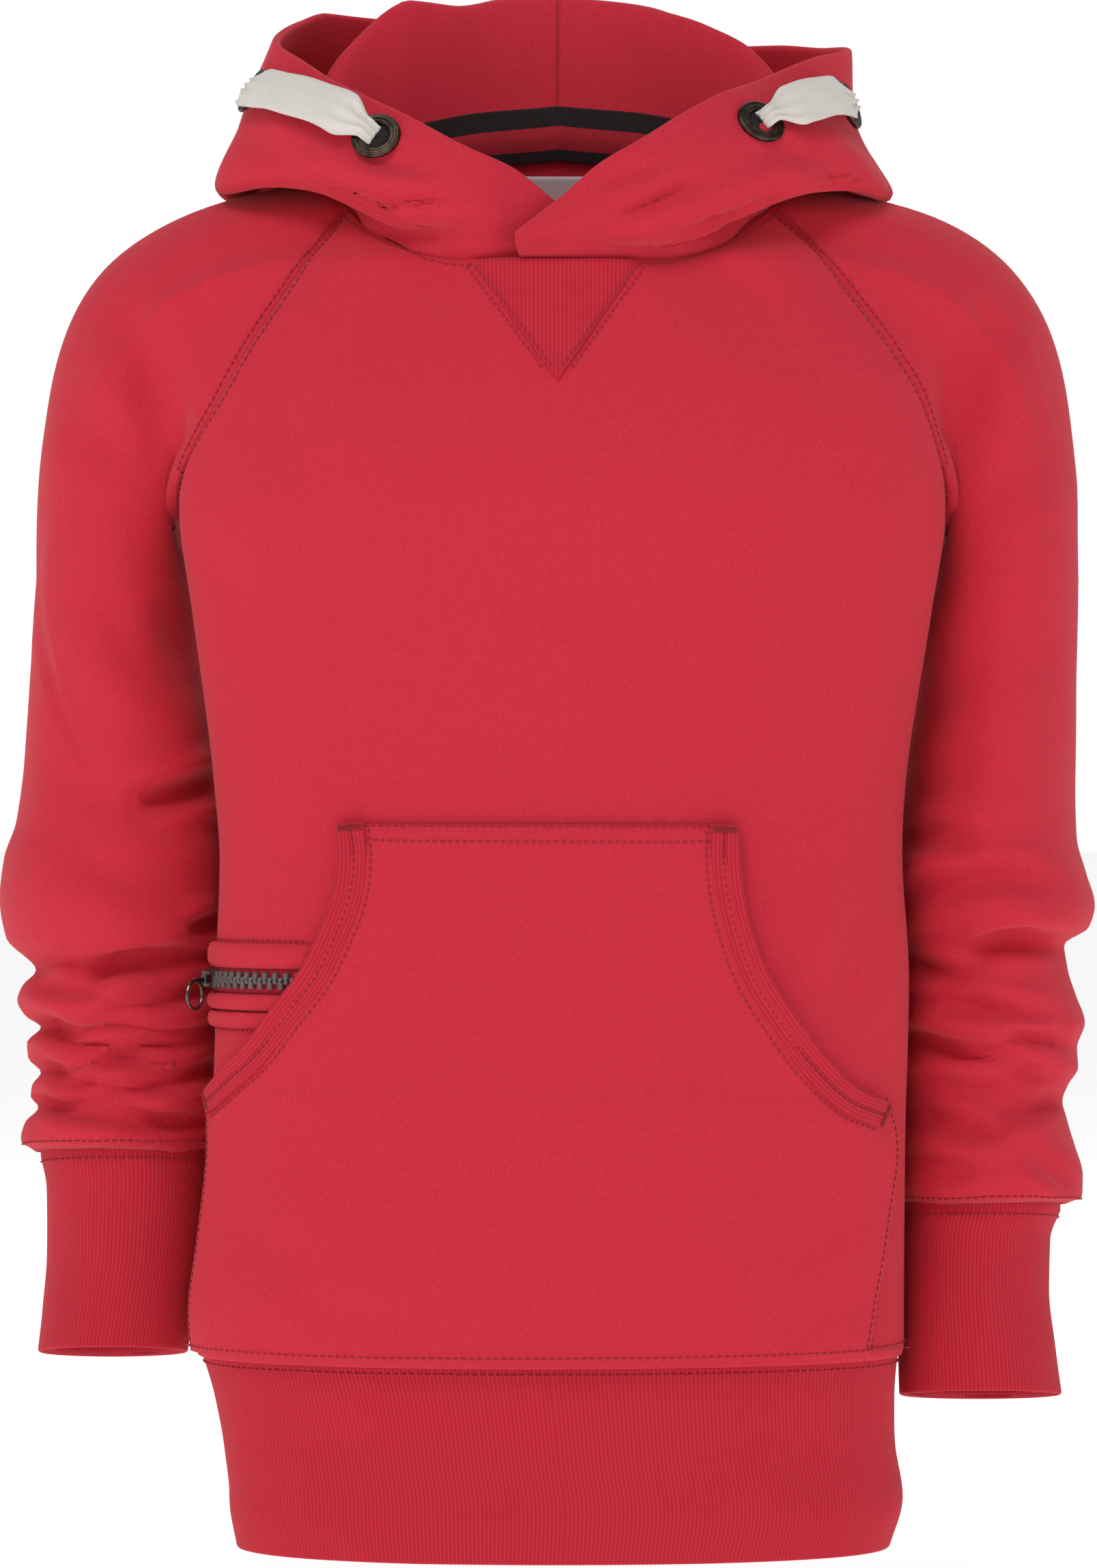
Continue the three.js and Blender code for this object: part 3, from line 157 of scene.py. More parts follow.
class Network:
    """The nodes of a material or of the world."""

    def __init__(self, tree):
        self.tree = tree

    def feed(self, socket, value):
        """Put a number, a colour or another node's output into a socket."""
        if isinstance(value, Value):
            self.tree.links.new(value.socket, socket)
        else:
            socket.default_value = value

    def node(self, kind, settings=None, values=None, output=0):
        """Any node: its type, its settings, and what its sockets get, by number or identifier."""
        made = self.tree.nodes.new("ShaderNode" + kind)
        for key, value in (settings or {}).items():
            setattr(made, key, value)
        for key, value in (values or {}).items():
            sockets = [s for i, s in enumerate(made.inputs) if key in (i, s.identifier)]
            self.feed(sockets[0], value)
        outputs = [s for i, s in enumerate(made.outputs) if output in (i, s.identifier)]
        return Value(self, outputs[0])

    def mix(self, share, first, second):
        """A colour between two colours."""
        values = {"Factor_Float": share, "A_Color": first, "B_Color": second}
        return self.node("Mix", {"data_type": "RGBA"}, values, "Result_Color")

    def noise(self, place, scale, detail=2.0):
        """Soft random spots, from 0 to 1, of about 1 / scale in size."""
        return self.node("TexNoise", None, {"Vector": place, "Scale": scale, "Detail": detail})

    def across_and_along(self):
        """The piece's own two directions over the cloth, in millimetres."""
        place = self.node("UVMap")
        return (
            self.node("SeparateXYZ", None, {0: place}, 0),
            self.node("SeparateXYZ", None, {0: place}, 1),
        )


class Look(Network):
    """A material. Its plain numbers go straight to the shader's own sockets."""

    def __init__(self, name, **numbers):
        self.material = bpy.data.materials.new(name)
        self.material.use_nodes = True
        super().__init__(self.material.node_tree)
        self.surface = self.tree.nodes["Principled BSDF"]
        for key, value in numbers.items():
            self.surface.inputs[key.replace("_", " ")].default_value = value

    def finish(self, colour, roughness, height=None, strength=0.5, depth=0.0003):
        """Join colour, roughness and relief to the shader."""
        self.feed(self.surface.inputs["Base Color"], colour)
        self.feed(self.surface.inputs["Roughness"], roughness)
        if height is not None:
            values = {"Strength": strength, "Distance": depth, "Height": height}
            self.feed(self.surface.inputs["Normal"], self.node("Bump", None, values))
        return self.material


# %% [markdown]
# ## Sweatshirt fleece
# The cloth is a thick brushed knit. From a step away it is nearly plain, with a fine upright grain: each
# column of knit stitches, a wale, is about 1.2 mm wide. The yarn takes the dye unevenly, which gives a faint
# mottle. The nap catches light at grazing angles, which the shader's sheen gives.
# The knit follows the piece's own UV map, which holds millimetres over the cloth.

# %% Sweatshirt fleece
WALE, COURSE = 1.25, 1.0
RED = (0.655, 0.026, 0.050, 1)
RED_DARK = (0.430, 0.013, 0.028, 1)
RED_LIGHT = (0.820, 0.048, 0.082, 1)


def make_fleece(name, dark, plain, light):
    """Mottled colour, and a relief of wales with the V of each knit stitch and a soft nap."""
    look = Look(name, Sheen_Weight=0.22, Sheen_Roughness=0.45, Specular_IOR_Level=0.18)
    look.surface.inputs["Sheen Tint"].default_value = (1, 0.45, 0.45, 1)
    across, along = look.across_and_along()
    place = look.node("TexCoord", None, None, "Object")
    wale = (across * (np.pi / WALE)).sine().size()
    stitch = ((along / COURSE + wale * 0.5) * (2 * np.pi)).sine()
    patches = look.noise(place, 38)
    fibres = look.noise(place, 900, 3)
    colour = look.mix(fibres, dark, light)
    colour = look.mix(0.35 + 0.3 * patches, colour, plain)
    # Painted shade: the grooves between the wales are darkened.
    colour = look.mix((1 - wale) ** 3 * 0.18, colour, dark)
    height = wale * 0.6 + stitch * 0.22 + fibres * 0.9
    return look.finish(colour, 0.82 + 0.14 * fibres, height, 0.45, 0.00028)


fleece = make_fleece("red_fleece", RED_DARK, RED, RED_LIGHT)
print("fleece nodes:", len(fleece.node_tree.nodes))

# %% [markdown]
# ## Rib knit
# The hem, the cuffs, the pocket bindings and the neck gusset are ribbed so that they stretch. The rib is
# fine: a ridge and a groove together are about 1.6 mm, and the ridges run up and down. Fine rows of
# stitches cross them, and the cloth is a little deeper in colour because the grooves hold shade.

# %% Rib knit
RIB = 1.6


def make_rib(name, dark, plain):
    """Ridges along the piece with a darker groove between them, crossed by rows of stitches."""
    look = Look(name, Sheen_Weight=0.15, Sheen_Roughness=0.5, Specular_IOR_Level=0.18)
    look.surface.inputs["Sheen Tint"].default_value = (1, 0.45, 0.45, 1)
    across, along = look.across_and_along()
    place = look.node("TexCoord", None, None, "Object")
    ridge = (across * (np.pi / RIB)).sine().size()
    row = (along * (2 * np.pi / 1.1)).sine()
    fibres = look.noise(place, 800, 3)
    colour = look.mix(ridge * 0.75 + 0.1 * fibres, dark, plain)
    colour = look.mix((row * 0.5 + 0.5) ** 2 * 0.16, colour, dark)
    height = ridge * 1.1 + row * 0.22 + fibres * 0.35
    return look.finish(colour, 0.86 + 0.1 * fibres, height, 0.45, 0.0003)


rib = make_rib("red_rib", (0.430, 0.015, 0.030, 1), (0.690, 0.029, 0.054, 1))
print("rib nodes:", len(rib.node_tree.nodes))

# %% [markdown]
# ## Tables and smooth curves
# A garment's form is written down as a few sections, each a row of sizes, and everything between them is
# read off smoothly. The curve through a column of a table must not overshoot, or the cloth would bulge
# between two rows, so its slope at a row is the harmonic mean of the slopes on both sides, or level at a
# turning point.

# %% Tables and smooth curves
def table(columns, rows):
    """Each column of a table as an array, by its name."""
    return dict(zip(columns.split(), np.array(rows, float).T))


def mix(a, b, t):
    """Straight between a and b."""
    return a + (b - a) * t


def smooth(x, low, high):
    """From 0 below low to 1 above high, level at both ends."""
    t = np.clip((x - low) / (high - low), 0, 1)
    return t * t * (3 - 2 * t)


def hermite(a, leaving, b, arriving, t):
    """The cubic from a to b with those slopes at its ends."""
    t2, t3 = t * t, t * t * t
    ends = (2 * t3 - 3 * t2 + 1) * a + (3 * t2 - 2 * t3) * b
    return ends + (t3 - 2 * t2 + t) * leaving + (t3 - t2) * arriving


def read(rows, key, name, at):
    """A column read where the key column has a value, by cubics that never overshoot."""
    x, y = rows[key], rows[name]
    if x[-1] < x[0]:
        x, y = x[::-1], y[::-1]
    step = np.diff(x)
    slope = np.diff(y) / step
    inner = np.zeros(len(slope) - 1)
    same = slope[:-1] * slope[1:] > 0
    total = np.where(same, slope[:-1] + slope[1:], 1)
    inner[same] = (2 * slope[:-1] * slope[1:] / total)[same]
    bend = np.concatenate([slope[:1], inner, slope[-1:]])
    i = np.clip(np.searchsorted(x, at, side="right") - 1, 0, len(x) - 2)
    t = np.clip((at - x[i]) / step[i], 0, 1)
    return hermite(y[i], bend[i] * step[i], y[i + 1], bend[i + 1] * step[i], t)


def through(points, t):
    """A centripetal Catmull-Rom curve through points (..., count, size), at t from 0 to 1."""
    first = 2 * points[..., :1, :] - points[..., 1:2, :]
    last = 2 * points[..., -1:, :] - points[..., -2:-1, :]
    held = np.concatenate([first, points, last], -2)
    place = np.clip(t, 0, 1) * (points.shape[-2] - 1)
    i = np.minimum(place.astype(int), points.shape[-2] - 2)
    share = (place - i)[..., None]
    pick = [np.take_along_axis(held, (i + k)[..., None, None], -2)[..., 0, :] for k in range(4)]
    gap = [np.sum((b - a) ** 2, -1, keepdims=True) ** 0.25 + 1e-9 for a, b in zip(pick, pick[1:])]
    a, b, c, d = pick
    leaving = (b - a) / gap[0] - (c - a) / (gap[0] + gap[1]) + (c - b) / gap[1]
    arriving = (c - b) / gap[1] - (d - b) / (gap[1] + gap[2]) + (d - c) / gap[2]
    return hermite(b, leaving * gap[1], c, arriving * gap[1], share)


def unit(v):
    """Vectors cut to length 1."""
    return v / (np.linalg.norm(v, axis=-1, keepdims=True) + 1e-12)


# %% [markdown]
# ## The body's form
# The body is a stack of rings between an ellipse and a rectangle. Each ring has its middle, its half
# width, how far forward and back it reaches, and where it is widest. Above the underarm the front and the
# back each run on as if there were no sleeves, and the raglan seams are drawn on them.

# %% The body's form
HEM_SEAM, UNDERARM = -449, -115
SIDE_SEAM = 94
FULLNESS = 2.3
RING_COLUMNS = "z middle half front back widest"
BODY_ROWS = [
    [-449, -3.3, 141.5, -90, 76, -22], [-428, -4.5, 142.5, -93, 79, -22],
    [-400, -2.5, 140.5, -95, 80, -23], [-346, 0.5, 138, -95, 78, -24],
    [-300, 1.5, 138, -94, 76, -25], [-250, 1, 136, -92, 75, -25],
    [-223, 0.6, 137.6, -91, 76, -25], [-154, 1.4, 147, -91, 82, -24],
    [-115, 1.5, 152.5, -91, 86, -22],
]
FRONT_ROWS = [
    [-95, 1.5, 153, -89.5, 86, -21], [-70, 1.5, 150, -85, 86, -19], [-48, 1.5, 143, -78.5, 86, -16],
    [-26, 1.5, 131, -70.5, 86, -10], [-15, 1, 123, -66, 86, -7], [-7.5, 1, 117, -52, 86, -5],
    [8, 1, 106, -31, 86, 0],
]
BACK_ROWS = [
    [-76, 1.5, 150, -91, 87, -6], [-48, 1.5, 143, -91, 85, 2], [-18, 1.5, 126, -91, 80, 4],
    [10, 1.5, 109, -91, 73, 0], [33.5, 1.5, 93, -91, 65, -8], [45, 1.5, 84, -91, 60, -10],
]
BODY = table(RING_COLUMNS, BODY_ROWS)
RINGS = {
    "front": table(RING_COLUMNS, BODY_ROWS + FRONT_ROWS),
    "back": table(RING_COLUMNS, BODY_ROWS + BACK_ROWS),
}
HEM = table(RING_COLUMNS, [
    [-449, -3.3, 138.5, -87, 73, -22], [-466, -1.5, 135.5, -85, 71, -21],
    [-486, 0.5, 134, -84, 70, -20], [-506, 3, 134.5, -84, 70, -20], [-526, 2, 130, -82, 68, -20],
])


def ring_point(rings, angle, z):
    """A point of a body ring: a superellipse in X and Y, at an angle from the middle of the front."""
    turn = np.radians(angle)
    size = {name: read(rings, "z", name, z) for name in RING_COLUMNS.split()[1:]}
    side, ahead = np.sin(turn), np.cos(turn)
    depth = np.where(ahead > 0, size["widest"] - size["front"], size["back"] - size["widest"])
    x = size["middle"] + size["half"] * np.sign(side) * np.abs(side) ** (2 / FULLNESS)
    y = size["widest"] - depth * np.sign(ahead) * np.abs(ahead) ** (2 / FULLNESS)
    return np.stack(np.broadcast_arrays(x, y, z), -1)


def ring_normal(rings, angle, z):
    """The way the ring's surface faces, from its neighbours on both sides and above and below."""
    turned = ring_point(rings, angle + 1, z) - ring_point(rings, angle - 1, z)
    raised = ring_point(rings, angle, z + 2) - ring_point(rings, angle, z - 2)
    return unit(np.cross(turned, raised))


def angle_at(rings, x, z):
    """The angle at which a ring has a given X."""
    share = (x - read(rings, "z", "middle", z)) / read(rings, "z", "half", z)
    return np.sign(share) * np.degrees(np.arcsin(np.minimum(np.abs(share), 1) ** (FULLNESS / 2)))


middle_width = 2 * BODY["half"].mean()
print("body: mean width", round(middle_width), "mm")

# %% [markdown]
# ## The neck and the yoke
# The hood, the sleeves, the front and the back all meet at the neck seam, a bent loop that is lower in
# front than behind. The yoke of each panel is stretched between its two raglan seams and this loop:
# each point turns from its place on the straight underarm line to its place on the neck seam.

# %% The neck and the yoke
NECK = table("azimuth radius z tilt", [
    [0, 66, -15, 22], [31, 70, -15, 22], [45, 75, -12.5, 24], [55, 79, -7.5, 28], [65, 83, -0.5, 34],
    [76, 86.5, 8, 42], [90, 88, 18, 48], [105, 86, 27, 45], [120, 83, 33.5, 36], [150, 67, 42, 26],
    [180, 60, 45, 24],
])
CORNER = {"front": 76, "back": 120}
EDGE = {"front": SIDE_SEAM, "back": 180 - SIDE_SEAM}
RAGLAN = {
    ("front", -1): [[-148, -95], [-134.5, -71], [-121.5, -48], [-107, -26], [-95, -8]],
    ("back", -1): [[-148, -100], [-138, -76], [-124, -48], [-106, -18], [-88, 10]],
    ("front", 1): [[152, -93], [144, -69], [131, -48], [114.5, -26], [99, -6]],
    ("back", 1): [[150, -100], [140.5, -76], [126, -48], [107, -18], [89, 10]],
}


def outward(side, azimuth):
    """The level direction away from the neck's axis."""
    turn = np.radians(azimuth)
    return np.stack(np.broadcast_arrays(side * np.sin(turn), -np.cos(turn), 0 * turn), -1)


def neck_point(side, azimuth):
    """A point of the neck seam."""
    radius = read(NECK, "azimuth", "radius", np.abs(azimuth))
    point = outward(side, azimuth) * radius[..., None]
    point[..., 2] = read(NECK, "azimuth", "z", np.abs(azimuth))
    return point


def neck_way(side, azimuth, turn=0):
    """At the neck seam, the way the cloth faces, or with turn 90 the way it rises."""
    tilt = np.radians(read(NECK, "azimuth", "tilt", np.abs(azimuth)) + turn)[..., None]
    return outward(side, azimuth) * np.cos(tilt) + np.array([0, 0, 1.0]) * np.sin(tilt)


def raglan(face, side, t):
    """A raglan seam as angles and heights, by its length from the underarm to the neck."""
    rings = RINGS[face]
    corner = neck_point(side, np.array(float(CORNER[face])))
    rows = np.array(RAGLAN[face, side] + [[corner[0], corner[2]]], float)
    held = np.stack([angle_at(rings, rows[:, 0], rows[:, 1]), rows[:, 1]], -1)
    held = np.concatenate([[[side * EDGE[face], UNDERARM]], held])
    fine = np.linspace(0, 1, 201)
    curve = through(np.broadcast_to(held, (201, *held.shape)), fine)
    length = np.concatenate([[0], np.cumsum(np.linalg.norm(np.diff(curve, axis=0), axis=1))])
    place = np.interp(t * length[-1], length, fine)
    return through(np.broadcast_to(held, (*np.shape(t), *held.shape)), place)


def face_point(face, angle, z):
    """A point of a panel's own rings, by the angle from the middle of that panel."""
    return ring_point(RINGS[face], angle if face == "front" else 180 - angle, z)


def yoke_point(face, u, t):
    """u runs from the left seam to the right seam, t from the underarm to the neck."""
    u, t = np.broadcast_arrays(u, t)
    left, right = raglan(face, -1, t), raglan(face, 1, t)
    ends = raglan(face, -1, np.array(1.0)), raglan(face, 1, np.array(1.0))
    share = 2 * u - 1
    side = np.where(share < 0, -1, 1)
    azimuth = np.abs(share) * (CORNER["front"] if face == "front" else 180 - CORNER["back"])
    neck = neck_point(side, azimuth if face == "front" else 180 - azimuth)
    at_neck = angle_at(RINGS[face], neck[..., 0], neck[..., 2])
    angle = mix(left[..., 0], right[..., 0], u)
    angle = angle + t ** 2 * (at_neck - mix(ends[0][0], ends[1][0], u))
    z = mix(UNDERARM, neck[..., 2], t)
    z = z + (1 - u) ** 3 * (left[..., 1] - mix(UNDERARM, ends[0][1], t))
    z = z + u ** 3 * (right[..., 1] - mix(UNDERARM, ends[1][1], t))
    missing = neck - face_point(face, at_neck, neck[..., 2])
    return face_point(face, angle, z) + missing * t[..., None] ** 4


def panel_point(face, u, v):
    """The whole panel: v from 0 at the hem seam to 1 at the underarm and 2 at the neck."""
    u, v = np.broadcast_arrays(u, v)
    low = face_point(face, (2 * u - 1) * EDGE[face], mix(HEM_SEAM, UNDERARM, np.clip(v, 0, 1)))
    high = yoke_point(face, u, np.clip(v - 1, 0, 1))
    return np.where((v < 1)[..., None], low, high)


front_length = np.linalg.norm(np.diff(panel_point("front", 0.5, np.linspace(0, 2, 80)), axis=0), axis=1)
print("front: length down the middle", round(front_length.sum()), "mm")

# %% [markdown]
# ## From a grid of points to a piece of cloth
# Every cloth piece is a grid of points. Its normals come from each point's neighbours. The UV map holds
# the lengths over the cloth in millimetres, so that knit and rib keep their real size on every piece.
# Solidify gives the wall, inwards from the outer face. The cloth's flat size and area are measured here
# too, as the size that each sheet was cut to.

# %% From a grid of points to a piece of cloth
CLOTH = 2.0
surfaces = {}


def grid_normals(points, closed, like):
    """Normals of a grid, on the side of the directions in like. Closed columns join up."""
    if closed:
        across = np.roll(points, -1, 1) - np.roll(points, 1, 1)
    else:
        across = np.gradient(points, axis=1)
    normals = unit(np.cross(across, np.gradient(points, axis=0)))
    facing = np.sum(normals * like, -1)
    return normals * (1 if facing.sum() > 0 else -1)


def lengths(points, closed):
    """The mean length over the cloth, across and along, up to each column and each row."""
    loop = np.concatenate([points, points[:, :1]], 1) if closed else points
    across = np.linalg.norm(np.diff(loop, axis=1), axis=-1).mean(0)
    along = np.linalg.norm(np.diff(points, axis=0), axis=-1).mean(1)
    return np.concatenate([[0], np.cumsum(across)]), np.concatenate([[0], np.cumsum(along)])


def from_middle(points):
    """For a tube: away from the middle of each row of its grid."""
    return points - points.mean(1, keepdims=True)


def cloth_area(points, closed):
    """The grid's area in square metres, each cell as two triangles."""
    loop = np.concatenate([points, points[:, :1]], 1) if closed else points
    a, b, c, d = loop[:-1, :-1], loop[:-1, 1:], loop[1:, 1:], loop[1:, :-1]
    halves = [
        np.linalg.norm(np.cross(b - a, c - a), axis=-1),
        np.linalg.norm(np.cross(c - a, d - a), axis=-1),
    ]
    return sum(h.sum() for h in halves) / 2 * 1e-6


def put_mesh(name, points, faces, uv=None, look=None):
    """A mesh object at the origin, from millimetres, smooth, with one material."""
    mesh = bpy.data.meshes.new(name)
    mesh.from_pydata((points * 0.001).tolist(), [], faces.tolist())
    if uv is not None:
        layer = mesh.uv_layers.new(name="UVMap")
        layer.data.foreach_set("uv", uv.astype(np.float32).ravel())
    mesh.polygons.foreach_set("use_smooth", np.ones(len(mesh.polygons), bool))
    mesh.materials.append(look)
    mesh.update()
    return add_object(name, mesh)


def cloth(name, points, like, look, nodes, closed=False, wall=CLOTH, turned=False, flat=None):
    """A cloth piece that replaces CAD nodes: a grid, its UV map in millimetres and its wall."""
    rows, columns = points.shape[:2]
    i, j = np.meshgrid(np.arange(rows - 1), np.arange(columns if closed else columns - 1), indexing="ij")
    k = (j + 1) % columns
    faces = np.stack([i * columns + j, i * columns + k, (i + 1) * columns + k, (i + 1) * columns + j], -1)
    across, along = lengths(points, closed)
    u = np.stack([across[j], across[j + 1], across[j + 1], across[j]], -1)
    v = np.stack([along[i], along[i], along[i + 1], along[i + 1]], -1)
    uv = np.stack([v, u] if turned else [u, v], -1)
    if flat is not None:
        uv = flat.reshape(-1, 2)[faces]
    facing = unit(np.cross(points[:-1, 1:] - points[:-1, :-1], points[1:, :-1] - points[:-1, :-1]))
    if np.sum(facing * like[:-1, :-1]) < 0:
        faces, uv = faces[..., ::-1], uv[..., ::-1, :]
    made = put_mesh(name, points.reshape(-1, 3), faces.reshape(-1, 4), uv.reshape(-1, 2), look)
    solid = made.modifiers.new("wall", "SOLIDIFY")
    solid.thickness = wall * 0.001
    solid.offset = -1
    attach(made, "garment")
    if nodes:
        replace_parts(made, *nodes)
    surfaces[name] = points, grid_normals(points, closed, like)
    made["cut"] = [across[-1] * 0.001, along[-1] * 0.001, cloth_area(points, closed)]
    return made


def declare(made):
    """The cut of a piece: as wide and long as its grid is on average, and the grid's own area."""
    width, length, area = made["cut"]
    flat = (max(width, 0.0101), max(length, 0.0101))
    share = min(max(area, 0.301 * flat[0] * flat[1]), flat[0] * flat[1])
    print(f"{made.name}: cut {flat[0] * 1000:.0f} x {flat[1] * 1000:.0f} mm, {share * 1e4:.0f} cm2")


# %% [markdown]
# ## Soft creases
# Worn cloth folds where a joint bends and where there is too much of it. A crease is drawn as a short curve
# through three points, seen from the front or the back, and pressed into the surface: a trough that dies
# out at both ends, with a lower ridge on each side. They are uneven in length, depth and width on purpose.
# The sides that the photograph hides get creases of the same kind.

# %% Soft creases
CREASE_COLUMNS = "x0 z0 x1 z1 x2 z2 width depth"


def pressed(points, normals, creases, towards, ridge=0.4):
    """Points moved along their normals by troughs that lie on the side towards -Y or +Y."""
    rows = table(CREASE_COLUMNS, creases)
    place = points[..., [0, 2]]
    facing = smooth(normals[..., 1] * towards, -0.15, 0.45)
    t = np.linspace(0, 1, 33)[:, None]
    moved = np.zeros(points.shape[:-1])
    for k in range(len(creases)):
        ends = [np.array([rows[f"x{n}"][k], rows[f"z{n}"][k]]) for n in range(3)]
        bend = 2 * ends[1] - (ends[0] + ends[2]) / 2
        curve = (1 - t) ** 2 * ends[0] + 2 * t * (1 - t) * bend + t ** 2 * ends[2]
        gaps = np.linalg.norm(place[..., None, :] - curve, axis=-1)
        near = gaps.argmin(-1)
        gap = gaps.min(-1) / rows["width"][k]
        along = np.sin(np.pi * np.clip(near / 32, 0.02, 0.98)) ** 0.6
        trough = np.exp(-gap ** 2) - ridge * np.exp(-((gap - 1.9) ** 2))
        moved -= rows["depth"][k] * along * trough * facing
    return points + normals * moved[..., None]


def ripples(points, normals, size, depth, seed):
    """A low uneven swell over the whole piece, the sum of a few slanted waves."""
    draw = np.random.default_rng(seed)
    moved = np.zeros(points.shape[:-1])
    for _ in range(6):
        way = unit(draw.normal(size=3))
        moved += np.sin(points @ way * (2 * np.pi / (size * draw.uniform(0.7, 1.5))) + draw.uniform(0, 6.3))
    return points + normals * (moved * depth / 6)[..., None]


def seam_dip(points, edges, depth=0.9, reach=2.4, closed=False):
    """How far a grid sinks beside some of its edges, by the distance over the cloth."""
    across, along = lengths(points, closed)
    far = {
        "left": across[: points.shape[1]][None, :] + 0 * along[:, None],
        "right": (across[-1] - across[: points.shape[1]])[None, :] + 0 * along[:, None],
        "bottom": along[:, None] + 0 * across[None, : points.shape[1]],
        "top": (along[-1] - along)[:, None] + 0 * across[None, : points.shape[1]],
    }
    return sum(depth * np.exp(-((far[edge] / reach) ** 2)) for edge in edges)


def calmed(before, after, edges, closed=False, reach=14):
    """The grid as it was near some edges, so that neighbours meet, and as changed elsewhere."""
    share = 1 - np.clip(seam_dip(before, edges, 1.0, reach, closed), 0, 1)
    return mix(before, after, share[..., None])


BODY_CREASES = [
    [126, -256, 118, -286, 108, -323, 9, 1.6], [-137, -127, -129, -143, -121, -167, 7, 1.2],
    [144, -109, 137, -130, 130, -156, 7, 1.2], [-105, -421, -79, -429, -47, -428, 7, 0.9],
    [80, -430, 101, -428, 125, -418, 7, 1.0], [-118, -62, -100, -100, -92, -140, 15, 1.3],
    [122, -70, 108, -110, 100, -150, 15, 1.3], [-60, -200, 0, -208, 55, -200, 16, 0.8],
    [-126, -386, -110, -404, -84, -410, 10, 1.1], [112, -372, 100, -398, 76, -408, 11, 1.1],
]
BACK_CREASES = [
    [-128, -120, -118, -150, -104, -190, 9, 2.0], [130, -118, 121, -152, 112, -186, 9, 1.9],
    [-60, -60, -20, -76, 42, -64, 14, 1.6], [-92, -398, -40, -418, 24, -412, 12, 2.0],
    [10, -372, 62, -398, 118, -388, 11, 1.8], [-124, -300, -96, -322, -60, -330, 11, 1.5],
    [60, -230, 92, -250, 124, -246, 12, 1.3], [-34, -150, 8, -168, 60, -158, 16, 1.2],
]
print("creases on the body:", len(BODY_CREASES), "in front and", len(BACK_CREASES), "behind")

# %% [markdown]
# ## Front and back
# Both panels are cut in one piece from the hem seam to the neck. They are made as one fine grid each.
# Near every seam the edge is turned in, so the surface sinks about a millimetre there, and the two sunk
# edges together make the soft valley of a sewn seam.

# %% Front and back
def dressed(points, normals, edges, closed=False, **sizes):
    """The grid with its seam edges sunk."""
    return points - normals * seam_dip(points, edges, closed=closed, **sizes)[..., None]


panels = {}
for face, count, towards, creases in (
    ("front", (230, 140), -1, BODY_CREASES), ("back", (180, 110), 1, BACK_CREASES),
):
    u = np.linspace(0, 1, count[1])[None, :]
    v = np.linspace(0, 2, count[0])[:, None] ** 1.0
    plain = panel_point(face, u, v)
    like = np.broadcast_to([0, towards, 0.2], plain.shape)
    normals = grid_normals(plain, False, like)
    points = pressed(plain, normals, creases, towards)
    points = ripples(points, normals, 95, 1.1, 3)
    points = calmed(plain, points, ["left", "right", "top"])
    normals = grid_normals(points, False, like)
    points = dressed(points, normals, ["left", "right", "bottom", "top"])
    panels[face] = cloth(face, points, like, fleece, [face])
print("front and back:", [len(p.data.vertices) for p in panels.values()], "points")

# %% [markdown]
# ## Sleeves
# A raglan sleeve is sewn to both panels along the slanted seams, and has a short edge of its own on the
# neck. From this loop it reaches over the shoulder and turns down into the arm's rings. The sleeves are too
# long for the arms, as they should be on a hooded sweatshirt, and bunch up over the cuffs in five or six
# rolls. The rolls are rows in the table that go in and out. To keep them from being plain rings, each
# ring is read a little higher or lower on its way round the arm.

# %% Sleeves
ARM_COLUMNS = "z outer inner front back drop"
ARM = {
    -1: table(ARM_COLUMNS, [
        [-139.3, 211.6, 149.5, -32, 74, 0], [-180.7, 214.6, 142.5, -33, 74, 0],
        [-215.9, 216.6, 138, -34, 75, 0], [-237.1, 219.7, 134.5, -35, 76, 0],
        [-252.3, 224.7, 133.5, -39, 78, 3], [-268.4, 226.2, 133, -41, 78, 4],
        [-284.5, 223.7, 133.5, -39, 76, 5], [-297.6, 212.1, 136, -31, 68, 6],
        [-303.7, 217.1, 134.5, -36, 70, 6], [-309.7, 219.2, 134, -38, 70, 6],
        [-315.8, 216.1, 134.5, -35, 68, 7], [-320.8, 209.6, 136.5, -29, 62, 7],
        [-326.9, 215.1, 135, -35, 64, 7], [-332.9, 214.6, 135, -35, 63, 8],
        [-339, 209.6, 137, -29, 58, 8], [-344, 213.1, 136, -33, 59, 8],
        [-348.6, 213.6, 136, -33, 58, 8], [-353.1, 210.6, 137.5, -29, 55, 8],
        [-359.2, 215.6, 136.5, -35, 56, 8], [-366.2, 217.1, 136.5, -36, 55, 8],
        [-372.3, 214.1, 137.5, -34, 52, 8],
    ]),
    1: table(ARM_COLUMNS, [
        [-139.3, 210.6, 151.5, -32, 74, 0], [-180.7, 209.6, 144.5, -33, 74, 0],
        [-215.9, 209.6, 139.5, -34, 75, 0], [-243.2, 210.6, 136, -35, 76, 0],
        [-258.3, 214.1, 135, -39, 77, 3], [-271.4, 217.5, 134.5, -41, 78, 4],
        [-280.5, 215.1, 135, -39, 76, 4], [-287.6, 205.5, 136.5, -31, 70, 5],
        [-296.6, 206.5, 135.5, -34, 70, 5], [-307.7, 209.6, 135, -37, 70, 6],
        [-318.8, 213.1, 135, -38, 69, 6], [-328.9, 210.1, 136, -32, 64, 7],
        [-337, 210.6, 135.5, -35, 64, 7], [-344, 206.5, 136.5, -31, 60, 7],
        [-351.1, 204.5, 136.5, -29, 58, 7], [-358.1, 206, 135.5, -34, 59, 7],
        [-369.2, 209.1, 135, -37, 58, 8], [-381.3, 212.1, 135, -38, 57, 8],
        [-389.4, 212.1, 135.5, -37, 55, 8], [-394.5, 208.1, 137, -34, 52, 8],
    ]),
}
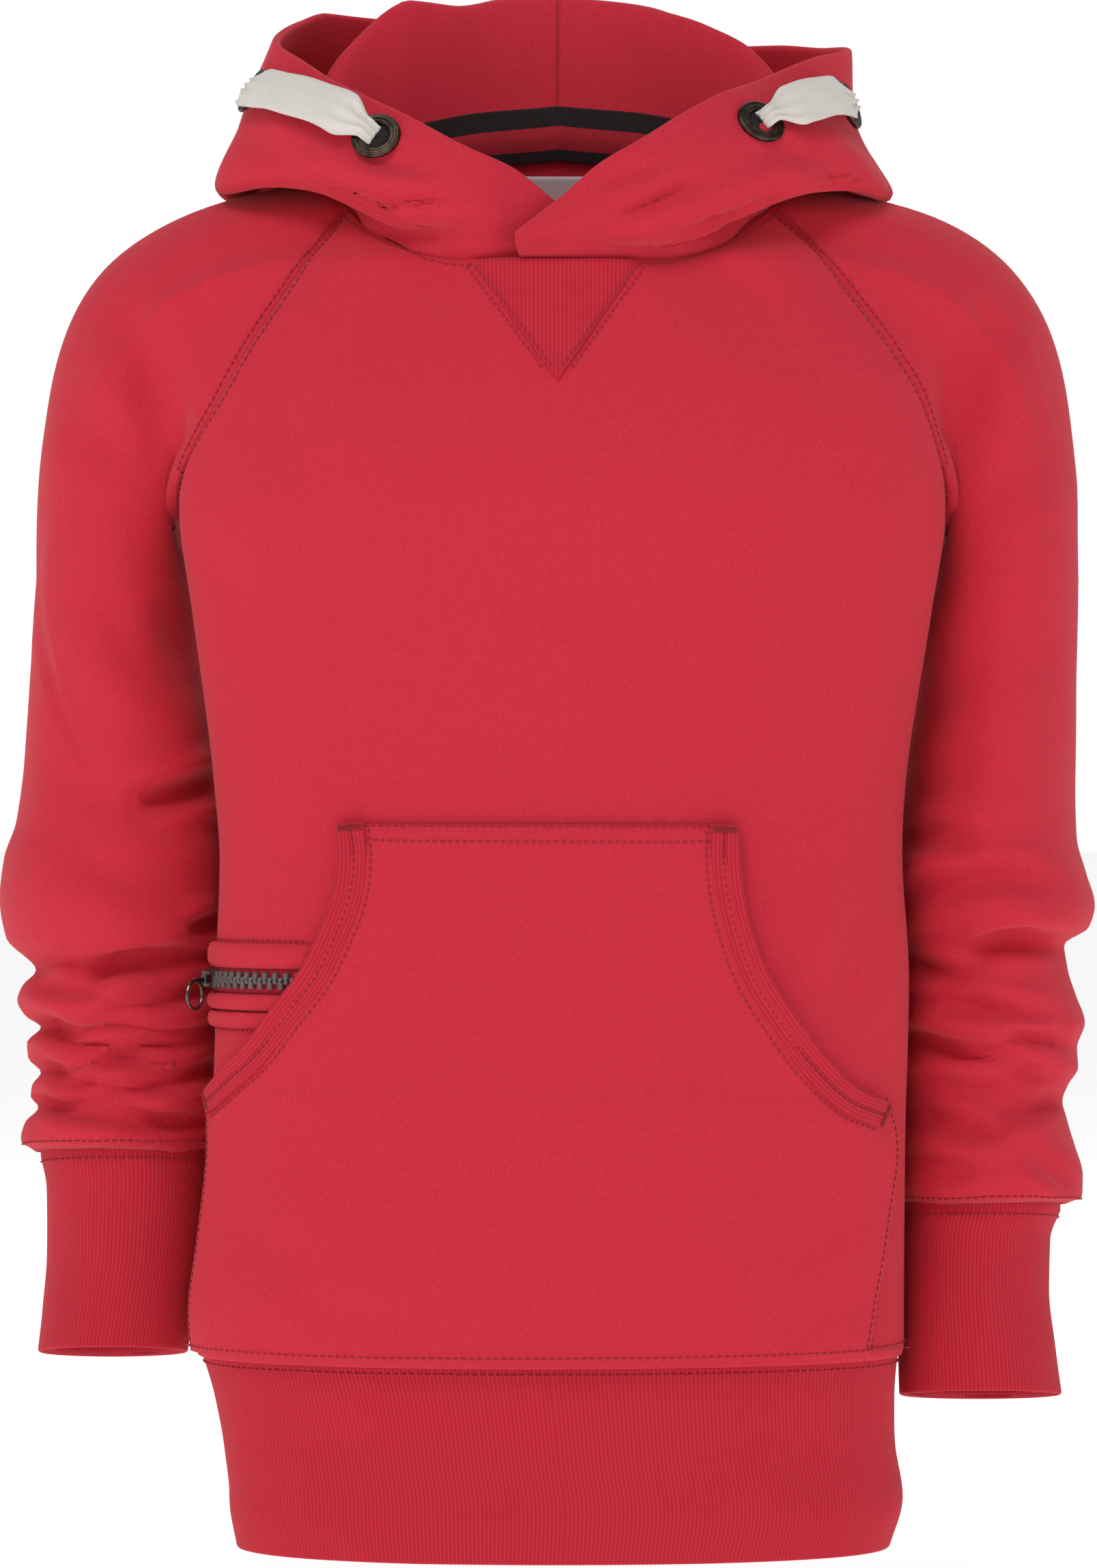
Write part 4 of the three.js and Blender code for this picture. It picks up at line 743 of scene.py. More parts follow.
CUFF = {
    -1: table(ARM_COLUMNS, [
        [-372.3, 209.1, 139.8, -30, 47, 8], [-385.4, 206.5, 141, -30, 43, 8.5],
        [-411.6, 206, 142.8, -33, 35, 9], [-433.8, 207.6, 146.8, -37, 31, 10],
        [-450.2, 209.6, 149.3, -40, 29, 10.5],
    ]),
    1: table(ARM_COLUMNS, [
        [-394.5, 203, 138.8, -30, 46, 8], [-405.5, 198.5, 137.8, -30, 42, 8.5],
        [-425.7, 197.5, 137.2, -33, 35, 9], [-447.9, 200, 137, -37, 31, 10],
        [-467.4, 202, 137.2, -40, 29, 10.5],
    ]),
}
SLEEVE_CREASES = {
    -1: [
        [-174.7, -35, -161.3, -61, -153, -98, 9, 5.0], [-192, -73, -181, -84, -167, -88, 9, 2.6],
        [-158, -144, -151, -160, -142, -173, 8, 5.5], [-186, -143, -164, -169, -137, -187, 11, 4.6],
        [-166, -229, -151, -225, -134.7, -220, 5, 9.0], [-198, -214, -173, -232, -140, -238, 10, 3.2],
        [-197, -241, -173, -257, -136, -264, 9, 4.0], [-205, -111, -206, -172, -180, -224, 2.2, 1.1],
        [-149, -281, -141, -279, -134, -276, 4, 6.5], [-189, -298, -167, -292, -134, -290, 4.4, 7.6],
        [-206, -317, -178, -327, -134, -323, 4.2, 6.4], [-204, -334, -173, -344, -134, -332, 4.0, 6.0],
        [-208, -349, -181, -353, -136, -356, 3.6, 5.4], [-181, -312, -157, -308, -135, -301, 4.2, 4.6],
        [-189, -340, -176, -334, -157, -338, 3.6, 4.0], [-206, -160, -196, -186, -192, -216, 12, 2.2],
        [-212, -300, -196, -304, -180, -303, 3.6, 4.6], [-176, -362, -158, -360, -138, -366, 4, 3.0],
    ],
    1: [
        [176.8, -32, 163.5, -60, 156.4, -92, 9, 5.0], [196, -84, 185, -98, 169, -100, 9, 2.6],
        [176, -160, 152, -190, 136, -200, 14, 5.0], [170, -205, 150, -222, 135, -226, 12, 5.0],
        [135, -271, 171, -259, 196, -264, 5.5, 5.6], [138, -291, 150, -297, 166, -298, 4.4, 6.4],
        [138, -307, 169, -310, 200, -317, 4.2, 6.2], [137, -322, 163, -330, 196, -336, 4.4, 6.0],
        [144, -355, 160, -359, 180, -355, 4.6, 5.0], [169, -347, 185, -351, 201, -348, 4.2, 4.6],
        [136, -246, 150, -243, 169, -248, 6.5, 5.0], [163, -289, 182, -284, 201, -286, 4.4, 5.4],
        [138, -368, 152, -374, 168, -372, 5, 3.6], [196, -150, 190, -180, 192, -214, 12, 2.4],
        [176, -318, 186, -322, 200, -324, 3.2, 4.6], [150, -340, 172, -342, 190, -338, 4, 3.6],
        [186, -370, 198, -376, 206, -384, 4, 3.0],
    ],
}
SHOULDER_PARTS, NECK_PARTS, SEAM_PARTS, FINE = 8, 4, 8, 8


def arm_point(rings, side, angle, z, wander=0.0):
    """A point of an arm ring by its angle from the outermost point towards the back."""
    turn = np.radians(angle)
    inner = (1 - np.cos(turn)) / 2
    reading = z + wander * inner * (np.sin(turn * 1.0 + z / 9.0) + 0.6 * np.sin(2 * turn))
    size = {name: read(rings, "z", name, reading) for name in ARM_COLUMNS.split()[1:]}
    middle_x, half_x = (size["outer"] + size["inner"]) / 2, (size["outer"] - size["inner"]) / 2
    middle_y, half_y = (size["front"] + size["back"]) / 2, (size["back"] - size["front"]) / 2
    x = side * (middle_x + half_x * np.cos(turn))
    y = middle_y + half_y * np.sin(turn)
    drop = read(rings, "z", "drop", z)
    return np.stack(np.broadcast_arrays(x, y, z - drop / 2 * np.sin(turn)), -1)


def armhole(side):
    """The loop a sleeve is sewn to, with its normals, and each point's number in CAD columns."""
    k = np.arange((NECK_PARTS + 2 * SEAM_PARTS) * FINE) / FINE
    share_neck = np.clip(k / NECK_PARTS, 0, 1)
    azimuth = mix(CORNER["front"], CORNER["back"], share_neck)
    back_t = 1 - np.clip((k - NECK_PARTS) / SEAM_PARTS, 0, 1)
    front_t = np.clip((k - NECK_PARTS - SEAM_PARTS) / SEAM_PARTS, 0, 1)
    edge = 0.0 if side < 0 else 1.0
    inside = 0.02 if side < 0 else 0.98
    points, normals = neck_point(side, azimuth), neck_way(side, azimuth)
    for face, t, part in (("back", back_t, k > NECK_PARTS), ("front", front_t, k > NECK_PARTS + SEAM_PARTS)):
        at = yoke_point(face, edge, t)
        above, below = np.clip(t + 0.02, 0, 1), np.clip(t - 0.02, 0, 1)
        rise = yoke_point(face, edge, above) - yoke_point(face, edge, below)
        facing = unit(np.cross(yoke_point(face, inside, t) - at, rise))
        like = at - np.array([0, 0, 1]) * at[:, 2:]
        facing *= np.where(np.sum(facing * like, -1) < 0, -1, 1)[:, None]
        points = np.where(part[:, None], at, points)
        normals = np.where(part[:, None], facing, normals)
    return k, points, normals


def sleeve_grid(side):
    """From the armhole over the shoulder by cubics, then down the arm's rings."""
    k, start, facing = armhole(side)
    count = NECK_PARTS + 2 * SEAM_PARTS
    underarm = NECK_PARTS + SEAM_PARTS
    steps = np.abs(k - underarm)
    along = np.roll(start, -FINE, 0) - np.roll(start, FINE, 0)
    direction = unit(np.cross(facing, along)) * -side
    back = smooth(np.minimum(k, count - k), 0, NECK_PARTS)
    zero = np.zeros_like(k)
    shoulder = unit(np.stack([zero + side, zero, -mix(0.02, 0.26, back)], -1))
    armpit = unit(np.array([side, 0, -0.5]))
    seam = mix(armpit, direction, smooth(steps, 0, 3)[:, None])
    from_neck = np.maximum(0, np.where(k > underarm, count - k, k - NECK_PARTS))
    leaving = unit(mix(shoulder, seam, smooth(from_neck, 0, 5)[:, None]))
    angle = np.interp(k, [0, NECK_PARTS, underarm, count], [-38, 38, 180, 322])
    rings = ARM[side]
    foot = arm_point(rings, side, angle, rings["z"][0] + zero)
    reach = np.linalg.norm(foot - start, axis=1)
    crown = (1 + np.cos(np.radians(angle))) / 2
    leave = leaving * (reach * mix(0.8, 1.6, crown))[:, None]
    arrive = np.array([0, 0, -1.0]) * (reach * mix(0.8, 1.68, crown))[:, None]
    t = np.linspace(0, 1, SHOULDER_PARTS * 5, endpoint=False)[:, None, None]
    upper = hermite(start, leave, foot, arrive, t)
    z = np.arange(rings["z"][0], rings["z"][-1], -1.6)[:, None] + zero
    z[-1] = rings["z"][-1]
    wander = 5.0 * smooth(-z, 285, 300) * (1 - smooth(-z, -rings["z"][-1] - 14, -rings["z"][-1]))
    return np.concatenate([upper, arm_point(rings, side, angle + 0 * z, z, wander)])


sleeves = {}
for side, name in ((-1, "left"), (1, "right")):
    plain = sleeve_grid(side)
    like = from_middle(plain)
    normals = grid_normals(plain, True, like)
    points = pressed(plain, normals, SLEEVE_CREASES[side], -1)
    behind = [[x0, z0 + 5, x1 - side * 4, z1, x2 + side * 8, z2 + 3, w * 1.1, d * 0.9]
              for x0, z0, x1, z1, x2, z2, w, d in SLEEVE_CREASES[side]]
    points = pressed(points, normals, behind, 1)
    points = ripples(points, normals, 60, 0.9, 5)
    points = calmed(plain, points, ["bottom"], closed=True)
    normals = grid_normals(points, True, like)
    points = dressed(points, normals, ["bottom"], closed=True)
    points = dressed(points, normals, ["top"], closed=True, depth=3.6, reach=4.2)
    under = unit(points[0] - points[1]) * np.array([3.2, 1.2])[:, None, None]
    under = under - normals[0] * np.array([2.1, 0.9])[:, None, None]
    points = np.concatenate([points[0] + under, points])
    like = from_middle(points)
    sleeves[side] = cloth(f"sleeve_{name}", points, like, fleece, [f"sleeve_{name}"], closed=True)
print("sleeves:", [len(p.data.vertices) for p in sleeves.values()], "points")

# %% [markdown]
# ## Rib cuffs and hem
# The cuffs and the hem are doubled rib bands that pull the cloth in, so they are narrower than what they
# hang from. Each is a tube on its own rings, with a rounded fold at its lower edge, and the cloth above
# puffs out over it a little.

# %% Rib cuffs and hem
RIB_WALL = 2.2


def rolled_end(points, normals, closed=True, roll=1.1):
    """Rows are added at the end of a grid that turn in under it, for a folded lower edge."""
    last, way = points[-1], unit(points[-1] - points[-2])
    turn = np.radians(np.array([30, 60, 90]))[:, None, None]
    curl = last + way * roll * np.sin(turn) - normals[-1] * roll * (1 - np.cos(turn))
    return np.concatenate([points, curl])


cuffs = {}
for side, name in ((-1, "left"), (1, "right")):
    rings = CUFF[side]
    z = np.linspace(rings["z"][0] + 5, rings["z"][-1] + 1.1, 46)[:, None]
    points = arm_point(rings, side, np.linspace(0, 360, 120, endpoint=False)[None, :], z)
    normals = grid_normals(points, True, from_middle(points))
    points = ripples(points, normals, 46, 0.8, 7)
    points = rolled_end(points, normals)
    cuffs[side] = cloth(
        f"cuff_{name}", points, from_middle(points), rib, [f"cuff_{name}"], closed=True, wall=RIB_WALL
    )

z = np.linspace(HEM["z"][0] + 5, HEM["z"][-1] + 1.1, 46)[:, None]
angle = np.linspace(0, 360, 260, endpoint=False)[None, :]
hem_grid = ring_point(HEM, angle, z)
hem_out = ring_normal(HEM, angle, z)
hem_out[..., 2] = 0
hem_out = unit(hem_out)
HEM_CREASES = [
    [-90, -470, -86, -492, -90, -514, 10, 1.0], [-30, -462, -18, -484, -22, -512, 12, 0.9],
    [40, -466, 48, -488, 44, -516, 12, 0.8], [104, -468, 98, -490, 104, -512, 9, 1.1],
]
hem_grid = pressed(hem_grid, hem_out, HEM_CREASES, -1)
hem_grid = pressed(hem_grid, hem_out, [[-x0, z0, -x1, z1, -x2, z2, w, d * 1.3]
                                       for x0, z0, x1, z1, x2, z2, w, d in HEM_CREASES], 1)
hem_grid = ripples(hem_grid, hem_out, 55, 0.8, 9)
hem_grid = rolled_end(hem_grid, hem_out)
hem_like = np.concatenate([hem_out, hem_out[-1:].repeat(3, 0)])
hem = cloth("hem_rib", hem_grid, hem_like, rib, ["hem_rib"], closed=True, wall=RIB_WALL)
print("hem:", len(hem.data.vertices), "points")

# %% [markdown]
# ## The hood
# The hood lies down behind the neck. Its cloth and its lining are one doubled sheet that stands on the neck
# seam. In front it goes straight up to the face edge. At the sides it folds out over the shoulder, and at the
# back it stands up as a wall, folds back down into a deep bag, and comes up again to the face edge. So
# every section is a curve through six points: seam, standing fold, way down, bag, band and face edge.
# At the face edge the outer cloth and the lining roll into each other.

# %% The hood
HOOD_COLUMNS = "azimuth foldR foldZ wayR wayZ bagR bagZ bandR bandZ rimR rimZ"
HOOD = {
    -1: table(HOOD_COLUMNS, [
        [-14, 67, -13.4, 67.4, -12.4, 67.6, -11.4, 67.6, -10.2, 67.4, -9],
        [0, 67.5, -11.5, 68.3, -8.5, 69, -5, 69.3, -1, 69, 3.5],
        [15, 69.5, -10, 71.5, -6, 73, 0, 73, 8, 71, 17],
        [29, 72.5, -8.5, 77, -4, 80, 3, 79.5, 14, 76, 26],
        [47, 78, -4, 85, -1, 91, 7, 89, 22, 81, 39],
        [62, 85, 5, 95, 9, 107, 18, 103, 34, 87, 48.5],
        [76, 90, 18, 107, 18, 124, 19, 118, 40, 95, 58],
        [86, 93, 26, 113, 22, 134, 17, 127, 42, 104, 67],
        [96, 96, 42, 112, 32, 138, 19, 127, 46, 115, 76],
        [108, 95, 68, 108, 43, 141, 18, 134, 50, 119, 84],
        [119, 90, 85, 104, 44, 143, 10, 138, 49, 122, 91],
        [128, 78, 98, 103, 32, 139, -13, 138, 42, 121, 96],
        [143, 71, 97, 100, 20, 126, -36, 134, 36, 119, 96],
        [160, 71, 101, 98, 2, 116, -50, 130, 26, 114, 88],
        [180, 72, 103, 97, -4, 112, -56, 128, 20, 112, 81],
    ]),
    1: table(HOOD_COLUMNS, [
        [-13, 70.5, -12.4, 72.5, -12, 74, -10.8, 74.6, -9.6, 75, -8.2],
        [0, 71, -10.6, 74, -7.4, 76, -4, 76.5, 0, 75.5, 4.5],
        [12, 71, -9.6, 75, -6, 77.5, -1, 77, 8, 74, 18],
        [24, 72, -10, 77, -9, 81, -5, 80, 13, 75.5, 27.5],
        [41, 76, -6, 82, -6, 88, 1, 86, 22, 78, 41],
        [55, 82, 1, 89, 2, 98, 11, 94, 30, 80, 49.5],
        [68, 88, 12, 99, 13, 114, 17, 104, 36, 84, 55],
        [77, 91, 20, 106, 18, 124, 17, 110, 40, 89, 60],
        [90, 95, 30, 112, 24, 131, 15, 117, 42, 104, 69],
        [99, 95, 46, 111, 34, 136, 18, 121, 43, 117, 73.5],
        [108, 92, 64, 107, 42, 141, 18, 127, 47, 123, 77.5],
        [119, 86, 80, 103, 44, 142, 10, 133, 46, 124, 80],
        [130, 76, 89, 102, 30, 138, -13, 135, 40, 119, 83],
        [143, 71, 95, 100, 18, 126, -36, 132, 34, 115, 84],
        [160, 71, 100, 98, 1, 116, -50, 130, 26, 114, 83],
        [180, 72, 103, 97, -4, 112, -56, 128, 20, 112, 81],
    ]),
}
HOOD_WALL, LAYER = 1.7, 0.4
CROSSING, CROSSING_FROM, CROSSING_TO = 5, 13, 26


def hood_point(side, azimuth, step):
    """step runs from 0 at the seam through each of the section's points to 5 at the face edge."""
    azimuth, step = np.broadcast_arrays(np.asarray(azimuth, float), np.asarray(step, float))
    seam = neck_point(side, azimuth) - neck_way(side, azimuth) * (HOOD_WALL + LAYER / 2)
    seam = seam + neck_way(side, azimuth, 90) * 0.6
    across = outward(side, azimuth)
    back = (CROSSING if side < 0 else 0) * (1 - smooth(azimuth, CROSSING_FROM, CROSSING_TO))
    radii = [np.sum(seam * across, -1) - back]
    heights = [seam[..., 2]]
    for name in ("fold", "way", "bag", "band", "rim"):
        radii.append(read(HOOD[side], "azimuth", name + "R", azimuth) - back)
        heights.append(read(HOOD[side], "azimuth", name + "Z", azimuth))
    flat = through(np.stack([np.stack(radii, -1), np.stack(heights, -1)], -1), step / 5)
    return across * flat[..., :1] + np.array([0, 0, 1.0]) * flat[..., 1:]


def hood_normal(side, azimuth, step):
    """Away from the wearer's neck at the seam, and over the folds from there on."""
    along = hood_point(side, azimuth, np.minimum(np.asarray(step) + 0.06, 5)) - hood_point(
        side, azimuth, np.maximum(np.asarray(step) - 0.06, 0))
    azimuth = np.asarray(azimuth, float)
    around = hood_point(side, azimuth + 1.5, step) - hood_point(side, azimuth - 1.5, step)
    return unit(np.cross(around, along)) * side


HOOD_CREASES = {
    -1: [
        [-91, 15.6, -73, 5.4, -48, 0.5, 4.4, 4.6], [-69, -2.7, -58, -5.4, -32, -2.7, 3.6, 3.2],
        [-74, 11.8, -56, 6.7, -42, 8.1, 3.2, 3.2], [-112, 22, -100, 12, -84, 9, 6, 3.0],
        [-128, 44, -116, 30, -98, 26, 8, 2.4], [-84, 30, -70, 22, -52, 20, 5, 1.6],
    ],
    1: [
        [20, -1, 38, 5.9, 54, 14, 3.6, 3.8], [57, -2.7, 73, 2.7, 86, 12, 4.6, 4.2],
        [100, 18, 112, 16, 124, 12, 6, 3.0], [76, 22, 92, 26, 112, 22, 5, 2.6],
        [44, -4, 56, -3, 66, 3, 3.6, 2.8], [18, 8, 26, 14, 42, 18, 4, 1.8],
    ],
}
HOOD_BACK_CREASES = [
    [-100, 10, -70, -14, -34, -20, 8, 3.4], [20, 30, 54, 6, 92, 2, 9, 3.4],
    [-60, 60, -30, 44, 6, 50, 10, 2.0], [-20, -30, 20, -38, 60, -28, 8, 2.4],
    [-44, 98, -34, 74, -42, 56, 6, 2.8], [30, 98, 38, 72, 26, 56, 6, 2.6], [-8, 92, -16, 72, -4, 60, 8, 1.8],
]
hoods = {}
for side, name in ((-1, "left"), (1, "right")):
    first = HOOD[side]["azimuth"][0]
    azimuth = np.linspace(first, 180, 110)[:, None]
    step = np.linspace(0, 5, 96)[None, :]
    middle = plain = hood_point(side, azimuth, step)
    like = hood_normal(side, azimuth, step)
    normals = grid_normals(middle, False, like)
    normals[-1, :, 0] = 0
    normals = unit(normals)
    for creases, towards in ((HOOD_CREASES[side], -1), (HOOD_BACK_CREASES, 1)):
        middle = pressed(middle, normals, creases, towards)
    front_folds = pressed(plain, normals, HOOD_CREASES[side], -1)
    middle = ripples(middle, normals, 52, 0.9, 11)
    calm = smooth(azimuth, first, first + 25) * smooth(180 - azimuth, 0, 12) * smooth(step, 0.2, 1.4)
    middle = mix(front_folds, middle, calm[..., None])
    normals = grid_normals(middle, False, like)
    normals[-1, :, 0] = 0
    normals = unit(normals)
    centre_seam = 1.0 * np.exp(-(((180 - azimuth) / 1.6) ** 2))
    thick = HOOD_WALL + LAYER / 2
    rim_way = unit(middle[:, -1] - middle[:, -2])[:, None]
    turn = np.radians(np.linspace(0, 90, 6))[None, 1:, None]
    for sign, piece, node in ((1, "hood_", "hood_"), (-1, "hood_lining_", "hood_lining_")):
        flat = middle + normals * (sign * (thick - centre_seam))[..., None]
        rim = middle[:, -1:] + rim_way * thick * np.sin(turn) + sign * normals[:, -1:] * thick * np.cos(turn)
        points = np.concatenate([flat, rim], 1)
        outer = np.concatenate([normals, normals[:, -1:].repeat(5, 1)], 1) * sign
        hoods[side, sign] = cloth(
            piece + name, points, outer, fleece, [node + name], wall=HOOD_WALL, turned=True
        )
print("hood:", {piece.name: len(piece.data.vertices) for piece in hoods.values()})

# %% [markdown]
# ## Kangaroo pocket
# The pouch lies on the front from the hem seam up, and its two slanted edges are the hand openings. Its
# cloth is made from the front's own points, moved out, and pressed by the same creases, so that the two
# lie together. The openings are bound with rib: a band folded over the edge and sewn down its middle.

# %% Kangaroo pocket
POCKET = table("leftX leftZ rightX rightZ", [
    [-85, -237.5, 69, -238], [-83.5, -251, 68.7, -252], [-85, -265, 70, -265], [-90, -279, 73.5, -280],
    [-97, -294, 79, -295], [-107, -308, 88, -310], [-119, -325, 101, -328], [-131, -338, 114, -341],
    [-136, -346, 128, -349], [-136, -368, 131.5, -366], [-139, -395, 128.5, -392],
    [-143, -422, 124.5, -420], [-143, -446, 120, -446],
])
POCKET_GAP, POCKET_MOUTH = 1.2, 0.655


def pocket_edge(side, t):
    """A side edge of the pocket as angles and heights on the body, from the top down."""
    name = "left" if side < 0 else "right"
    held = np.stack([angle_at(BODY, POCKET[name + "X"], POCKET[name + "Z"]), POCKET[name + "Z"]], -1)
    return through(np.broadcast_to(held, (*np.shape(t), *held.shape)), t)


def on_front(angle, z, lift):
    """A point of the front with its creases, moved out, and the way the cloth faces there."""
    points, normals = ring_point(BODY, angle, z), ring_normal(BODY, angle, z)
    points = pressed(points, normals, BODY_CREASES, -1)
    points = ripples(points, normals, 95, 1.1, 3)
    return points + normals * np.asarray(lift)[..., None], normals


def beside(side, t, distance):
    """Angles and heights beside a pocket edge, at a distance over the cloth."""
    at = pocket_edge(side, t)
    ahead = pocket_edge(side, np.clip(t + 0.01, 0, 1)) - pocket_edge(side, np.clip(t - 0.01, 0, 1))
    one = ring_point(BODY, at[..., 0] + 1, at[..., 1]) - ring_point(BODY, at[..., 0] - 1, at[..., 1])
    per_degree = np.linalg.norm(one, axis=-1) / 2
    way = unit(np.stack([ahead[..., 0] * per_degree, ahead[..., 1]], -1))
    return at[..., 0] - way[..., 1] * distance / per_degree, at[..., 1] + way[..., 0] * distance


t = np.linspace(0, 1, 130)[:, None]
u = np.linspace(0, 1, 120)[None, :]
left, right = pocket_edge(-1, t), pocket_edge(1, t)
pocket_angle, pocket_z = mix(left[..., 0], right[..., 0], u), mix(left[..., 1], right[..., 1], u)
near_mouth = np.exp(-((np.minimum(u, 1 - u) / 0.12) ** 2))
near_mouth = near_mouth * smooth(POCKET_MOUTH - t, 0, 0.2) * smooth(t, 0, 0.1)
edge_down = np.exp(-((t / 0.012) ** 2)) * 0.8
lift = POCKET_GAP + CLOTH + 2.2 * near_mouth - edge_down
pocket_points, pocket_out = on_front(pocket_angle, pocket_z, lift)
pocket = cloth("pocket", pocket_points, pocket_out, fleece, ["pocket"])

BINDING_WIDTH, BINDING_WALL = 10.5, 1.4
bindings = {}
for side, name in ((-1, "left"), (1, "right")):
    t = np.linspace(0, POCKET_MOUTH, 90)[:, None]
    share = np.linspace(0, 1, 16)[None, :]
    angle, z = beside(side, t, -side * mix(-0.8, BINDING_WIDTH, share))
    edge_bulge = 2.3 * np.exp(-((share / 0.35) ** 2)) * smooth(POCKET_MOUTH - t, 0, 0.2) * smooth(t, 0, 0.1)
    sewn = -0.7 * np.exp(-(((share - 0.52) / 0.05) ** 2)) - 1.0 * (share > 0.99) - 1.2 * (share < 0.01)
    angle, z, rise = np.broadcast_arrays(angle, z, edge_bulge + sewn)
    points, out = on_front(angle, z, POCKET_GAP + CLOTH + LAYER + BINDING_WALL + rise)
    bindings[side] = cloth(
        f"pocket_binding_{name}", points, out, rib, [f"pocket_binding_{name}"], wall=BINDING_WALL
    )
print("pocket:", len(pocket.data.vertices), "points, bindings:", len(bindings[1].data.vertices), "each")

# %% [markdown]
# ## Neck gusset
# A small V of rib is let in below the front neck seam. On old sweatshirts it took the strain of pulling
# the neck over the head. Here it lies on the front, so its points are the front's own, found by a short
# search for the place on the yoke that has the wanted X and Z.

# %% Neck gusset
GUSSET_LEFT, GUSSET_RIGHT, GUSSET_TIP = -34.8, 32.6, (-0.5, -65)


def on_yoke(x, z, lift):
    """The front's yoke where it has that X and Z, moved out, and the way it faces.

    Each turn of the search goes a third of the way, so that it settles where the yoke is uneven."""
    u, t = np.full(np.shape(x), 0.5), np.full(np.shape(x), 0.5)
    for _ in range(70):
        at = yoke_point("front", u, t)
        width = yoke_point("front", 1 + 0 * u, t)[..., 0] - yoke_point("front", 0 * u, t)[..., 0]
        u = u + (x - at[..., 0]) / width / 3
        t = np.clip(t + (z - at[..., 2]) / 100, 0, 1)
    across = yoke_point("front", u + 0.01, t) - yoke_point("front", u - 0.01, t)
    normals = unit(np.cross(across, yoke_point("front", u, t) - yoke_point("front", u, t - 0.01)))
    points = pressed(at, normals, BODY_CREASES, -1)
    points = ripples(points, normals, 95, 1.1, 3)
    return points + normals * np.asarray(lift)[..., None], normals


down = np.linspace(0, 0.985, 44)[:, None]
share = np.linspace(0, 1, 36)[None, :]
gusset_x = mix(mix(GUSSET_LEFT, GUSSET_TIP[0], down), mix(GUSSET_RIGHT, GUSSET_TIP[0], down), share)
gusset_z = mix(-17.0, GUSSET_TIP[1], down) + 0 * share
edge_dip = 0.9 * (1 - smooth(down, 0.3, 0.8)) * np.exp(-((np.minimum(share, 1 - share) / 0.05) ** 2))
gusset_points, gusset_out = on_yoke(gusset_x, gusset_z, 1.5 - edge_dip)
gusset_flat = np.stack([gusset_x + 40, gusset_z + 80], -1)
gusset = cloth(
    "neck_gusset", gusset_points, gusset_out, rib, ["neck_gusset"], wall=1.2, flat=gusset_flat
)
print("gusset:", len(gusset.data.vertices), "points")

# %% [markdown]
# ## Zip pocket
# A second pocket on the wearer's right side closes with a coarse moulded zip between padded welts. The
# welts are strips of cloth rolled over a cord, and the zip's woven tape shows between them.
# Each tooth is one moulded block with a neck and a wider head, and the heads of the upper row fit
# between the heads of the lower row. All teeth are one mesh: the tooth's outline, extruded and bevelled,
# is repeated along the tape by arrays.

# %% Zip pocket
ZIP_Z, ZIP_START, ZIP_END_X = -299, -91, -96
WELTS = table("z height endX proud", [
    [-289.4, 10, -87, 2.8],
    [-307.6, 6.4, -99, 2.6],
    [-314.8, 6.4, -105, 2.2],
])
WELT_NAMES = ["zip_welt_upper", "zip_welt_lower", "zip_welt_lowest"]
for i, name in enumerate(WELT_NAMES):
    end = angle_at(BODY, WELTS["endX"][i], WELTS["z"][i])
    angle = np.linspace(ZIP_START, end, 60)[None, :]
    turn = np.radians(np.linspace(-90, 90, 18))[:, None]
    half, proud = WELTS["height"][i] / 2, WELTS["proud"][i]
    z = WELTS["z"][i] + half * np.sin(turn) + 0 * angle
    squeezed = 1 - 0.75 * smooth(angle, end - 7, end - 2.5)
    lift = LAYER + 0.3 + proud * squeezed * np.cos(turn) ** 0.7 * (1 + 0.05 * np.sin(angle * 1.3))
    points, out = on_front(angle + 0 * turn, z, lift)
    welt = cloth(name, points, out, fleece, [name], wall=1.0, turned=True)
    declare(welt)

zip_cloth = make_fleece("red_zip_tape", (0.32, 0.01, 0.02, 1), (0.42, 0.014, 0.03, 1), (0.5, 0.02, 0.04, 1))
angle = np.linspace(ZIP_START, angle_at(BODY, ZIP_END_X, ZIP_Z), 50)[None, :]
z = ZIP_Z + np.linspace(-4.6, 4.6, 8)[:, None]
points, out = on_front(angle + 0 * z, z + 0 * angle, LAYER + 0.6)
zip_tape = cloth("zip_tape", points, out, zip_cloth, ["zip_tape"], wall=0.5)
declare(zip_tape)

# %% [markdown]
# ## Zip teeth
# The photo shows dark grey, slightly shiny plastic teeth, about four millimetres from one to the next.

# %% Zip teeth
PITCH = 4.07
TOOTH = np.array([
    [-1.15, -3.2], [1.15, -3.2], [1.15, -0.9], [0.62, -0.5], [0.62, 0.0], [1.1, 0.35], [1.1, 1.0],
    [0.6, 1.5], [-0.6, 1.5], [-1.1, 1.0], [-1.1, 0.35], [-0.62, 0.0], [-0.62, -0.5], [-1.15, -0.9],
])


def extruded(outline, centres, rights, ups, outs, height, bevel):
    """A flat outline repeated at many places, as a block with a bevelled top.

    Each block has three rings of points, a lid and a foot."""
    middle = outline.mean(0)
    inner = middle + (outline - middle) * (1 - bevel)
    rings = [(outline, 0.0), (outline, height * 0.72), (inner, height)]
    points = np.stack([
        centres[:, None] + rights[:, None] * ring[None, :, :1] + ups[:, None] * ring[None, :, 1:]
        + outs[:, None] * rise for ring, rise in rings
    ], 1)
    blocks, _, count, _ = points.shape
    start = np.arange(blocks)[:, None, None] * 3 * count
    level = np.arange(2)[None, :, None] * count
    j = np.arange(count)[None, None, :]
    k = (j + 1) % count
    low = start + level
    sides = np.stack([low + j, low + k, low + count + k, low + count + j], -1)
    foot = start[:, 0] + np.arange(count)[None, ::-1]
    lid = start[:, 0] + 2 * count + np.arange(count)[None, :]
    return points.reshape(-1, 3), sides.reshape(-1, 4).tolist() + lid.tolist() + foot.tolist()


